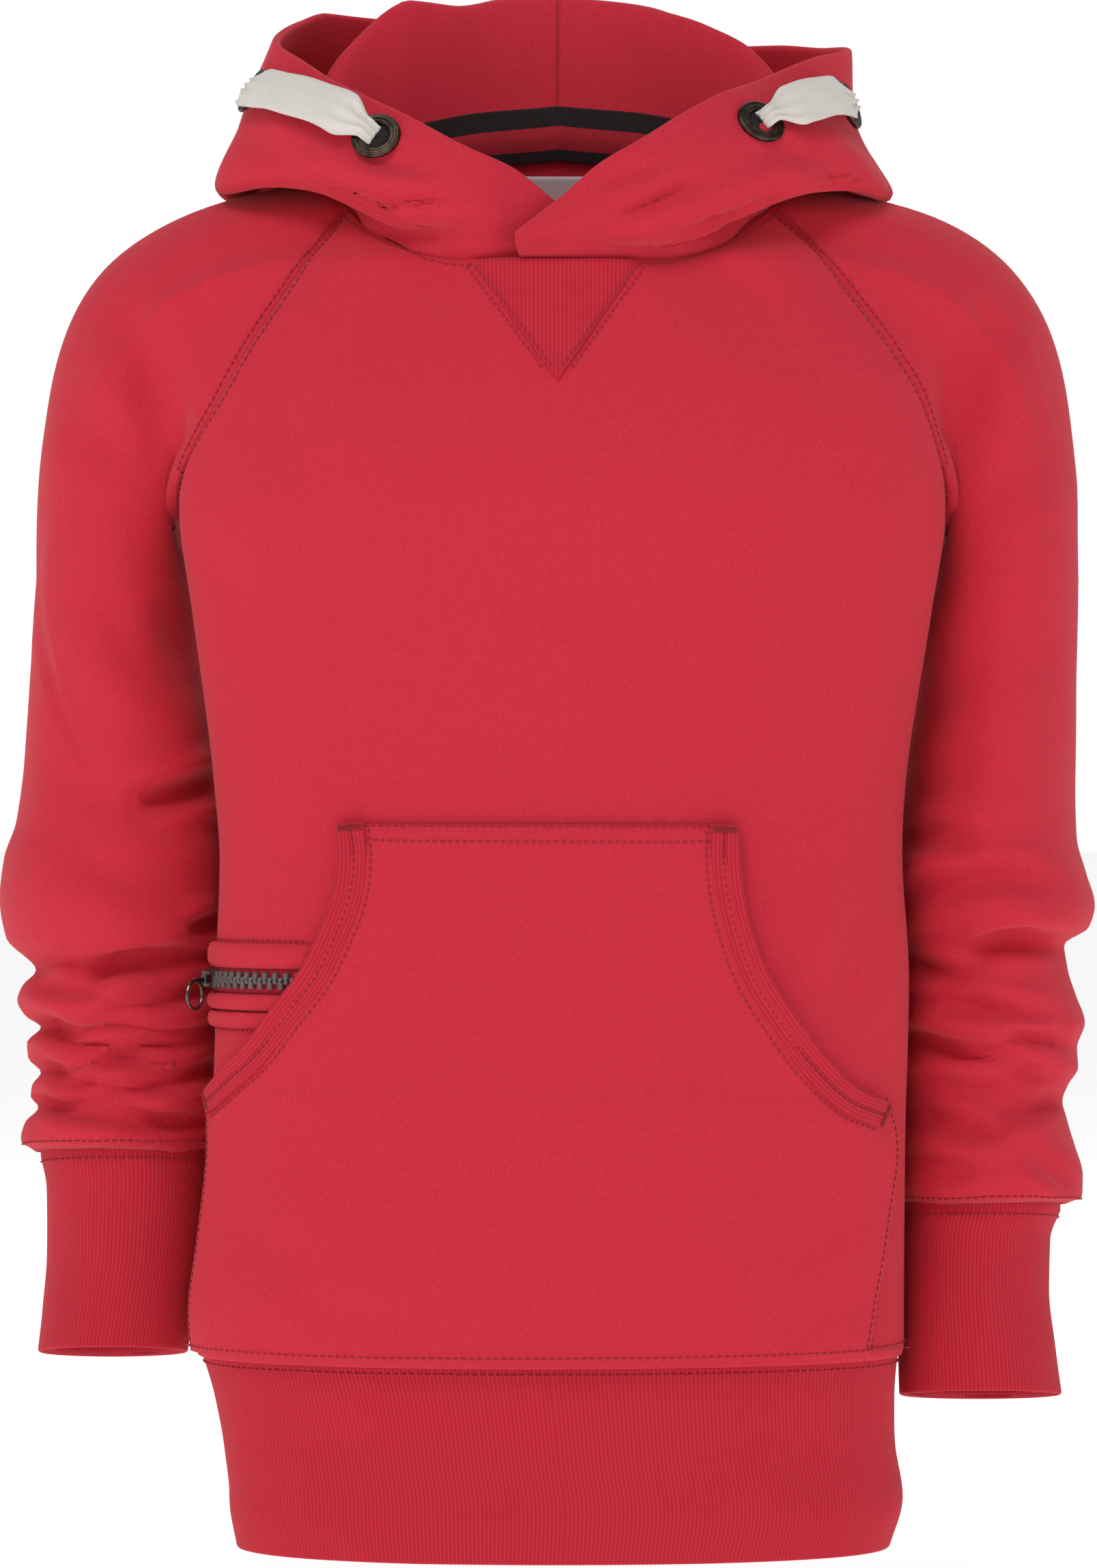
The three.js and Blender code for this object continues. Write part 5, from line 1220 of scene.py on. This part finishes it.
def put_blocks(name, points, faces, look, nodes=()):
    """Blocks as one mesh that rides on the garment, with its faces turned out."""
    mesh = bpy.data.meshes.new(name)
    mesh.from_pydata((points * 0.001).tolist(), [], faces)
    mesh.materials.append(look)
    mesh.update()
    made = add_object(name, mesh)
    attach(made, "garment")
    if nodes:
        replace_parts(made, *nodes)
    return made


teeth_look = Look("zip_teeth", Specular_IOR_Level=0.5, Coat_Roughness=0.3)
place = teeth_look.node("TexCoord", None, None, "Object")
grain = teeth_look.noise(place, 700)
colour = teeth_look.mix(grain, (0.075, 0.055, 0.052, 1), (0.17, 0.135, 0.125, 1))
teeth_look.finish(colour, 0.3 + 0.2 * grain, grain, 0.1, 0.0002)
reach = np.linalg.norm(ring_point(BODY, -79.0, ZIP_Z) - ring_point(BODY, -80.0, ZIP_Z))
teeth_parts = []
for row, shift in ((1, 0.0), (-1, 0.5)):
    count = int((angle_at(BODY, ZIP_END_X, ZIP_Z) + 78) * reach / PITCH - 0.2)
    at = -78 + (np.arange(count) + 0.4 + shift) * PITCH / reach
    centres, outs = on_front(at, ZIP_Z + 0 * at, 1.4 + 0 * at)
    ups = np.broadcast_to([0, 0, 1.0], outs.shape) * row
    rights = unit(np.cross(ups, outs))
    teeth_parts.append(extruded(TOOTH, centres - ups * 0.1, rights, ups, outs, 1.6, 0.25))
offset = len(teeth_parts[0][0])
teeth_faces = teeth_parts[0][1] + [[v + offset for v in f] for f in teeth_parts[1][1]]
teeth = put_blocks("zip_teeth", np.concatenate([p for p, _ in teeth_parts]), teeth_faces,
                   teeth_look.material, ["zip_chain"])
print("zip teeth:", len(teeth.data.polygons), "faces")

# %% [markdown]
# ## Metal of the slider, the pull and the eyelets
# The slider and its ring pull are the CAD's own solids, so they only get a finish: dark nickel, worn
# brighter in places. The eyelets are antique bronze. Their CAD rings are coarse, so a finer ring is turned
# here on a lathe: a profile of radii and heights, carried round the axis that stands on the hood.

# %% Metal
def make_metal(name, dark, bright, rough):
    """Metal whose colour and shine change in soft patches, with fine scratches in the relief."""
    look = Look(name, Metallic=1.0)
    place = look.node("TexCoord", None, None, "Object")
    patches = look.noise(place, 260, 3)
    fine = look.noise(place, 1500, 2)
    worn = (patches - 0.35) * 1.6
    return look.finish(look.mix(worn, dark, bright), rough + 0.25 * fine, fine, 0.12, 0.0001)


nickel = make_metal("dark_nickel", (0.10, 0.085, 0.08, 1), (0.30, 0.27, 0.25, 1), 0.22)
bronze = make_metal("antique_bronze", (0.028, 0.022, 0.018, 1), (0.16, 0.12, 0.085, 1), 0.3)
for node in ("zip_slider", "zip_pull"):
    mesh = frame["nodes"][node].data
    mesh.materials.clear()
    mesh.materials.append(nickel)

# %% [markdown]
# ## Eyelets
# Each eyelet is a rolled ring around a hole that the tape goes into, and the hole is filled by a near-black
# disc of painted shadow.

# %% Eyelets
EYELETS = {
    -1: [("eyelet_left_inner", 52, 4.33, 0.9), ("eyelet_left_outer", 91.5, 4.42, 0.9)],
    1: [("eyelet_right_inner", 58.5, 4.3, 0.35), ("eyelet_right_outer", 92.5, 4.3, 0.9)],
}
RING_PROFILE = np.array([
    [5.4, 0.0], [5.4, 0.9], [5.7, 1.5], [6.3, 1.85], [7.2, 1.9], [7.5, 1.6], [8.6, 1.6], [8.9, 1.75],
    [9.5, 1.5], [9.95, 0.9], [10.0, 0.0],
])
# Painted shadow: a near-black matt disc fills each eyelet's hole and stands in for the shade inside it.
SHADOW_DISC_PROFILE = np.array([[0.05, 0.0], [0.05, 0.35], [3.0, 0.3], [5.5, 0.3], [5.5, 0.0]])
shadow_disc_look = Look("eyelet_hole", Roughness=0.9)
place = shadow_disc_look.node("TexCoord", None, None, "Object")
colour = shadow_disc_look.mix(shadow_disc_look.noise(place, 300), (0.008, 0.006, 0.006, 1), (0.02, 0.014, 0.014, 1))
shadow_disc_look.finish(colour, 0.9)


def turned_on(profile, centre, axis, count):
    """A profile carried round an axis: radius times a turning direction, plus height along the axis."""
    first = unit(np.cross(axis, [0.3, 0.1, 1.0]))
    second = np.cross(axis, first)
    turn = np.linspace(0, 2 * np.pi, count, endpoint=False)[None, :, None]
    way = first * np.cos(turn) + second * np.sin(turn)
    return centre + way * profile[:, None, :1] + axis * profile[:, None, 1:]


def ring_faces(rows, columns):
    """The faces of a grid whose columns join up and whose last row joins the first, so it is closed."""
    i, j = np.meshgrid(np.arange(rows), np.arange(columns), indexing="ij")
    k, below = (j + 1) % columns, (i + 1) % rows
    corners = [below * columns + j, below * columns + k, i * columns + k, i * columns + j]
    return np.stack(corners, -1).reshape(-1, 4)


for side, places in EYELETS.items():
    for name, azimuth, step, lift in places:
        axis = hood_normal(side, float(azimuth), step)
        foot = hood_point(side, float(azimuth), step) + axis * (LAYER / 2 + HOOD_WALL + lift)
        ring = turned_on(RING_PROFILE, foot, axis, 56)
        faces = ring_faces(len(RING_PROFILE), 56)
        made = put_mesh(name + "_ring", ring.reshape(-1, 3), faces, None, bronze)
        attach(made, "garment"), made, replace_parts(made, name)
        # The disc of painted shadow in the hole.
        shadow_disc = turned_on(SHADOW_DISC_PROFILE, foot, axis, 40)
        faces = ring_faces(len(SHADOW_DISC_PROFILE), 40)
        made = put_mesh(name + "_hole", shadow_disc.reshape(-1, 3), faces, None, shadow_disc_look.material)
        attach(made, "garment"), made
print("eyelets:", sum(len(p) for p in EYELETS.values()))

# %% [markdown]
# ## Flat cotton tapes
# A short flat tape runs from eyelet to eyelet on each side. It is thick soft cotton in a herringbone weave,
# bunched where it goes through the holes and spread flat, a little crowned, between them. Its path is a
# line over the hood, and each crosswise row is a crowned line whose width and folds change along it.

# %% Flat cotton tapes
TAPE_WIDTH, TAPE_END, TAPE_WALL = 19.5, 8.5, 1.3


def make_herringbone(name, dark, light, pitch):
    """Slanted threads that turn back at every rib, so they read as a row of V shapes."""
    look = Look(name, Sheen_Weight=0.1, Sheen_Roughness=0.6, Specular_IOR_Level=0.15)
    across, along = look.across_and_along()
    place = look.node("TexCoord", None, None, "Object")
    slant = (across / pitch).math("PINGPONG", across, pitch)
    thread = ((along + slant * 1.2) * (2 * np.pi / 1.0)).sine() * 0.5 + 0.5
    turn = ((across * (np.pi / pitch)).sine().size()) ** 0.5
    fibres = look.noise(place, 700, 3)
    colour = look.mix(thread * 0.7 + 0.3 * fibres, dark, light)
    height = thread * 0.8 + turn * 0.3 + fibres * 0.4
    return look, colour, 0.86 + 0.1 * fibres, height


tape_look, colour, roughness, height = make_herringbone(
    "cotton_tape", (0.70, 0.64, 0.58, 1), (0.90, 0.86, 0.81, 1), 2.1
)
cotton = tape_look.finish(colour, roughness, height, 0.5, 0.0003)
for side, name in ((-1, "tape_left"), (1, "tape_right")):
    (_, start_azimuth, start_step, _), (_, end_azimuth, end_step, _) = EYELETS[side]
    t = np.linspace(0, 1, 120)
    azimuth, step = mix(start_azimuth, end_azimuth, t), mix(start_step, end_step, t)
    line = hood_point(side, azimuth, step)
    length = np.concatenate([[0], np.cumsum(np.linalg.norm(np.diff(line, axis=0), axis=1))])
    inset = np.minimum(length, length[-1] - length)
    out = hood_normal(side, azimuth, step)
    along = unit(np.gradient(line, axis=0))
    out = unit(out + np.array([0, -0.4, 0]) * smooth(inset, 3, 14)[:, None])
    across = unit(np.cross(out, along))
    half = mix(TAPE_END, TAPE_WIDTH, smooth(inset, 4.5, 16)) / 2
    lift = LAYER / 2 + HOOD_WALL + TAPE_WALL + mix(0.7, 4.2, smooth(inset, 0, 4.6))
    lift = lift + 2.6 * smooth(inset, 4.4, 20)
    share = np.linspace(-1, 1, 25)[None, :]
    bunch = 1 - smooth(inset, 5, 26)
    crown = 1.3 * (1 - share ** 2) * (1 - 0.4 * bunch[:, None])
    folds = 0.8 * np.cos(share * 9.5 + 1.0) * bunch[:, None]
    wave = 0.35 * np.sin(length[:, None] / 4.2 + share * 2.0) * (1 - bunch[:, None])
    points = line[:, None] + across[:, None] * (share * half[:, None])[..., None]
    points = points + out[:, None] * (lift[:, None] + crown + folds + wave)[..., None]
    like = np.broadcast_to(out[:, None], points.shape)
    tape = cloth(name, points, like, cotton, [name], wall=TAPE_WALL)
    declare(tape)

# %% [markdown]
# ## Neck tape and label
# A woven tape covers the back neck seam so that it doesn't rub. It is black at both edges with a red
# herringbone band between them. Below the seam it lies on the back, above it on the hood's lining. The
# label under it is plain pale satin, sewn at its upper edge, and is left blank.

# %% Neck tape and label
NECK_TAPE_FROM, TAPE_LOW, TAPE_HIGH = 128, -9.0, 11.0
neck_look, colour, roughness, height = make_herringbone(
    "neck_tape", (0.30, 0.012, 0.022, 1), (0.62, 0.03, 0.05, 1), 3.0
)
_, along = neck_look.across_and_along()
band = (along - 10.2).size().over(4.9)
black = neck_look.mix(height * 0.5, (0.010, 0.006, 0.007, 1), (0.045, 0.030, 0.032, 1))
colour = neck_look.mix(band, colour, black)
neck_cloth = neck_look.finish(colour, roughness, height, 0.5, 0.0003)
share = np.linspace(-1, 1, 150)
height_along = np.linspace(TAPE_LOW, TAPE_HIGH, 26)[:, None]
azimuth = 180 - np.abs(share) * (180 - NECK_TAPE_FROM)
depth = LAYER / 2 + HOOD_WALL + 0.8
sides = np.where(share < 0, -1, 1)
rows = []
for side in (-1, 1):
    seam = hood_point(side, azimuth, 0)
    one = np.linalg.norm(seam - hood_point(side, azimuth, 1), axis=-1)
    step = np.clip(height_along, 0, None) / one
    way = hood_normal(side, azimuth + 0 * step, step)
    high = hood_point(side, azimuth + 0 * step, step) - way * depth
    low = neck_point(side, azimuth) - neck_way(side, azimuth) * (HOOD_WALL + LAYER / 2 + depth)
    low = low + neck_way(side, azimuth, 90) * np.minimum(height_along, 0)[..., None]
    blend = smooth(height_along, -1.5, 1.5)[..., None]
    rows.append(mix(low, high, blend))
points = np.where((sides < 0)[None, :, None], rows[0], rows[1])
like = -points * np.array([1, 1, 0])
neck_tape = cloth("neck_tape", points, like, neck_cloth, ["neck_tape"], wall=0.9)
declare(neck_tape)

label_look = Look("label_satin", Sheen_Weight=0.1, Specular_IOR_Level=0.35)
across, along = label_look.across_and_along()
place = label_look.node("TexCoord", None, None, "Object")
thread = (along * (2 * np.pi / 0.5)).sine() * 0.5 + 0.5
fibres = label_look.noise(place, 500)
satin = label_look.finish(
    label_look.mix(thread * 0.3 + fibres * 0.5, (0.62, 0.52, 0.55, 1), (0.80, 0.70, 0.73, 1)),
    0.45 + 0.2 * fibres,
    thread + fibres, 0.2, 0.0001,
)
z = np.linspace(-15, 30, 30)[:, None]
x = np.linspace(-30, 30, 40)[None, :]
angle = angle_at(RINGS["back"], x + 0 * z, z + 0 * x)
points = face_point("back", angle, z + 0 * x)
like = np.broadcast_to([0, 1.0, 0.2], points.shape)
out = grid_normals(points, False, like)
curl = 2.0 + 0.4 + 0.6 + 0.7 * (1 - smooth(z, -15, 10)) * (1 + 0.5 * np.sin(x / 9.0))
points = points - out * curl[..., None]
label = cloth("label", points, -out, satin, ["label"], wall=0.5)
declare(label)

# %% [markdown]
# ## Topstitching
# Sweatshirts are sewn with two or three rows of red thread that lie on top of the cloth beside each seam.
# A stitch is one short thread that comes up, runs about two millimetres and goes down again. Here each is
# a low arch with a six-sided section. A path is cut into equal steps by its length, every step gets one
# arch, and all arches of a group are one mesh. So that they lie on the cloth, each point of a path is
# first moved along the normal of the nearest point of the piece, into that point's plane.

# %% Topstitching
def laid_on(piece, path):
    """A path moved onto a piece, and the piece's normals along it."""
    points, normals = surfaces[piece]
    points, normals = points.reshape(-1, 3), normals.reshape(-1, 3)
    nearest = np.linalg.norm(path[:, None] - points[None], axis=-1).argmin(1)
    out = normals[nearest]
    away = np.sum((path - points[nearest]) * out, -1, keepdims=True)
    return path - out * away, out


def even(path, pitch):
    """Middles of equal steps along a path, as shares of its points, and the path's length."""
    length = np.concatenate([[0], np.cumsum(np.linalg.norm(np.diff(path, axis=0), axis=1))])
    count = max(int(length[-1] / pitch), 1)
    place = (np.arange(count) + 0.5) * length[-1] / count
    return np.interp(place, length, np.arange(len(path))), length[-1]


def sampled(values, place):
    """Rows of an array read between its rows."""
    low = np.minimum(place.astype(int), len(values) - 2)
    return mix(values[low], values[low + 1], (place - low)[:, None])


THREAD_ARCH = np.linspace(0, 1, 6)


def threads(centres, along, out, long, thick, lift):
    """Arched threads: a six-sided section carried along a low sine arch.

    Each is thinner at both ends, and closed there."""
    side = unit(np.cross(out, along))
    rise = np.sin(np.pi * THREAD_ARCH)
    turn = np.linspace(0, 2 * np.pi, 6, endpoint=False)
    line = centres[:, None] + along[:, None] * ((THREAD_ARCH - 0.5) * long)[None, :, None]
    line = line + out[:, None] * (lift + rise * thick * 0.9 - 0.25)[None, :, None]
    radius = (0.45 + 0.55 * rise) * thick / 2
    ring = side[:, None, None] * np.cos(turn)[None, None, :, None]
    ring = ring + out[:, None, None] * np.sin(turn)[None, None, :, None]
    points = line[:, :, None] + ring * radius[None, :, None, None]
    count, stations, sides = points.shape[:3]
    start = (np.arange(count) * stations * sides)[:, None, None]
    i, j = np.meshgrid(np.arange(stations - 1), np.arange(sides), indexing="ij")
    k = (j + 1) % sides
    quads = np.stack([start + i * sides + k, start + (i + 1) * sides + k, start + (i + 1) * sides + j,
                      start + i * sides + j], -1).reshape(-1, 4)
    first_end = start + np.array([[3, 2, 1, 0], [5, 4, 3, 0]])
    last_end = start + (stations - 1) * sides + np.array([[0, 1, 2, 3], [0, 3, 4, 5]])
    return points.reshape(-1, 3), np.concatenate([quads, first_end.reshape(-1, 4), last_end.reshape(-1, 4)])


def sew(name, paths, look, pitch=3.1, long=2.5, thick=0.62, lift=0.12, across=False):
    """One mesh of the stitches along several paths, each a pair of points and normals."""
    all_points, all_faces, offset = [], [], 0
    for path, normals in paths:
        place, _ = even(path, pitch)
        centres, out = sampled(path, place), unit(sampled(normals, place))
        along = unit(sampled(np.gradient(path, axis=0), place))
        if across:
            along = unit(np.cross(out, along))
        points, faces = threads(centres, along, out, long, thick, lift)
        all_points.append(points)
        all_faces.append(faces + offset)
        offset += len(points)
    made = put_mesh(name, np.concatenate(all_points), np.concatenate(all_faces), None, look)
    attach(made, "garment")
    print(f"{name}: {len(made.data.polygons)} faces")


thread_look = Look("red_thread", Sheen_Weight=0.1, Specular_IOR_Level=0.35)
place = thread_look.node("TexCoord", None, None, "Object")
twist = thread_look.noise(place, 1400)
thread_red = thread_look.finish(
    thread_look.mix(twist, (0.24, 0.008, 0.018, 1), (0.42, 0.016, 0.032, 1)),
    0.5 + 0.25 * twist, twist, 0.3, 0.0001
)

# %% [markdown]
# ### Where the rows of stitches run
# Each raglan seam has a row on either side. The neck seam has one below it, all round. The gusset has two
# along its V. The pocket's top is hemmed with two rows, and its bindings and side edges with one each.
# The hem and the cuffs have a row above the seam and one on the rib.

# %% Where the rows of stitches run
fine = np.linspace(0.01, 0.985, 160)
rows = []
for side, name in ((-1, "left"), (1, "right")):
    for face in ("front", "back"):
        edge, inside = (0.0, 0.02) if side < 0 else (1.0, 0.98)
        at = yoke_point(face, edge, fine)
        inward = unit(yoke_point(face, inside, fine) - at)
        rows.append(laid_on(face, at + inward * 2.6))
        rows.append(laid_on(f"sleeve_{name}", at - inward * 2.6))
for face, low, high in (("front", 0, 76), ("back", 120, 180)):
    for side in (-1, 1):
        azimuth = np.linspace(low, high, 90)
        rows.append(laid_on(face, neck_point(side, azimuth) - neck_way(side, azimuth, 90) * 4.6))
for side, name in ((-1, "left"), (1, "right")):
    azimuth = np.linspace(CORNER["front"], CORNER["back"], 60)
    rows.append(laid_on(f"sleeve_{name}", neck_point(side, azimuth) - neck_way(side, azimuth, 90) * 4.6))
sew("seam_stitches", rows, thread_red)

rows = []
v_line = np.linspace(0.02, 0.9, 80)
for start_x, sign in ((GUSSET_LEFT, 1), (GUSSET_RIGHT, -1)):
    for gap in (1.6, -2.2):
        x, z = mix(start_x, GUSSET_TIP[0], v_line) + sign * gap, mix(-18.0, GUSSET_TIP[1], v_line)
        rows.append(on_yoke(x, z, 1.5) if gap > 0 else laid_on("front", on_yoke(x, z, 0)[0]))
sew("gusset_stitches", rows, thread_red, pitch=2.8, long=2.2)

rows = []
share = np.linspace(0.012, 0.988, 160)
for drop in (1.8, 8.4):
    t_row = drop / np.ptp(POCKET["leftZ"])
    ends = pocket_edge(-1, np.array(t_row)), pocket_edge(1, np.array(t_row))
    angle, z = mix(ends[0][0], ends[1][0], share), mix(ends[0][1], ends[1][1], share)
    rows.append(laid_on("pocket", ring_point(BODY, angle, z)))
for side, name in ((-1, "left"), (1, "right")):
    t = np.linspace(0.012, POCKET_MOUTH - 0.004, 140)
    for distance, on in ((5.6, f"pocket_binding_{name}"), (BINDING_WIDTH + 1.4, "pocket")):
        angle, z = beside(side, t, -side * distance)
        rows.append(laid_on(on, on_front(angle, z, 5.0 + 0 * t)[0]))
    t = np.linspace(POCKET_MOUTH + 0.004, 0.995, 80)
    for distance, on in ((1.6, "pocket"), (-3.4, "front")):
        angle, z = beside(side, t, -side * distance)
        rows.append(laid_on(on, on_front(angle, z, 4.0 + 0 * t)[0]))
sew("pocket_stitches", rows, thread_red, pitch=2.9, long=2.3)

rows = []
turn = np.linspace(-94, 94, 260)
rows.append(laid_on("front", ring_point(BODY, turn, HEM_SEAM + 5.2 + 0 * turn)))
rows.append(laid_on("pocket", ring_point(BODY, np.linspace(-84, 76, 200), HEM_SEAM + 5.2 + np.zeros(200))))
turn = np.linspace(94, 266, 240)
rows.append(laid_on("back", ring_point(BODY, turn, HEM_SEAM + 5.2 + 0 * turn)))
turn = np.linspace(0, 360, 420)
rows.append(laid_on("hem_rib", ring_point(HEM, turn, HEM_SEAM - 2.4 + 0 * turn)))
for side, name in ((-1, "left"), (1, "right")):
    turn = np.linspace(0, 360, 160)
    low, top = ARM[side]["z"][-1], CUFF[side]["z"][0]
    rows.append(laid_on(f"sleeve_{name}", arm_point(ARM[side], side, turn, low + 4.6 + 0 * turn)))
    rows.append(laid_on(f"cuff_{name}", arm_point(CUFF[side], side, turn, top - 2.4 + 0 * turn)))
sew("hem_stitches", rows, thread_red)

rows = []
for z, end in ((-283.2, -97), (-295.2, -101), (-303.6, -106), (-311.2, -112), (-318.8, -118)):
    angle = np.linspace(ZIP_START + 0.5, angle_at(BODY, end, z) - 1, 60)
    rows.append(laid_on("front", on_front(angle, z + 0 * angle, 0 * angle)[0]))
sew("zip_stitches", rows, thread_red, pitch=2.6, long=2.0, thick=0.5)

# %% [markdown]
# ### Bartacks
# Where a hand pulls at an opening, the sewing machine makes a bartack: a dense bar of short stitches that
# lie across a line. They are the same arches, laid crosswise and very close together.

# %% Bartacks
bars = []
for side in (-1, 1):
    for t, reach in ((0.012, 5), (POCKET_MOUTH, 7)):
        angle, z = beside(side, np.full(12, t), -side * np.linspace(0.5, BINDING_WIDTH, 12))
        binding = f"pocket_binding_{'left' if side < 0 else 'right'}"
        bars.append(laid_on(binding, on_front(angle, z, np.full(12, 6.0))[0]))
sew("bartacks", bars, thread_red, pitch=0.62, long=2.6, thick=0.55, lift=0.25, across=True)

# %% [markdown]
# ## The cloth's cut sizes
# The size of each sheet's flat cut is printed: its mean width and length, and its area. A closed tube,
# such as a sleeve, counts with its whole way round.

# %% The cloth's cut sizes
declare(panels["front"])
declare(panels["back"])
for side, name in ((-1, "left"), (1, "right")):
    declare(sleeves[side])
    declare(cuffs[side])
    declare(hoods[side, 1])
    declare(hoods[side, -1])
    declare(bindings[side])
declare(hem)
declare(pocket)
declare(gusset)

# %% [markdown]
# ## Floor and background
# The photograph's background is plain white. A plain white world lights everything softly from all sides,
# and a pale matt floor lies a little below the hem.

# %% Floor and background
world = bpy.data.worlds.new("white_room")
world.use_nodes = True
sky = Network(world.node_tree)
direction = sky.node("TexCoord", None, None, "Generated")
ahead = sky.node("SeparateXYZ", None, {0: direction}, "Y")
background = world.node_tree.nodes["Background"]
background.inputs["Color"].default_value = (1, 1, 1, 1)
sky.feed(background.inputs["Strength"], 0.34 + 0.7 * (ahead * 16 - 14.6).held())
bpy.context.scene.world = world

floor_look = Look("pale_floor", Specular_IOR_Level=0.1)
place = floor_look.node("TexCoord", None, None, "Object")
grain = floor_look.noise(place, 3)
floor_look.surface.inputs["Emission Color"].default_value = (1, 1, 1, 1)
floor_look.surface.inputs["Emission Strength"].default_value = 0.6
floor_look.finish(floor_look.mix(grain, (0.90, 0.90, 0.90, 1), (0.93, 0.93, 0.93, 1)), 0.8 + 0.1 * grain)
FLOOR_REACH, FLOOR_Z = 40000.0, -562.0
corners = np.array([[-1, -1], [1, -1], [1, 1], [-1, 1]]) * FLOOR_REACH
corners = np.concatenate([corners, np.full((4, 1), FLOOR_Z)], 1)
floor = put_mesh("floor", corners, np.array([[0, 1, 2, 3]]), None, floor_look.material)
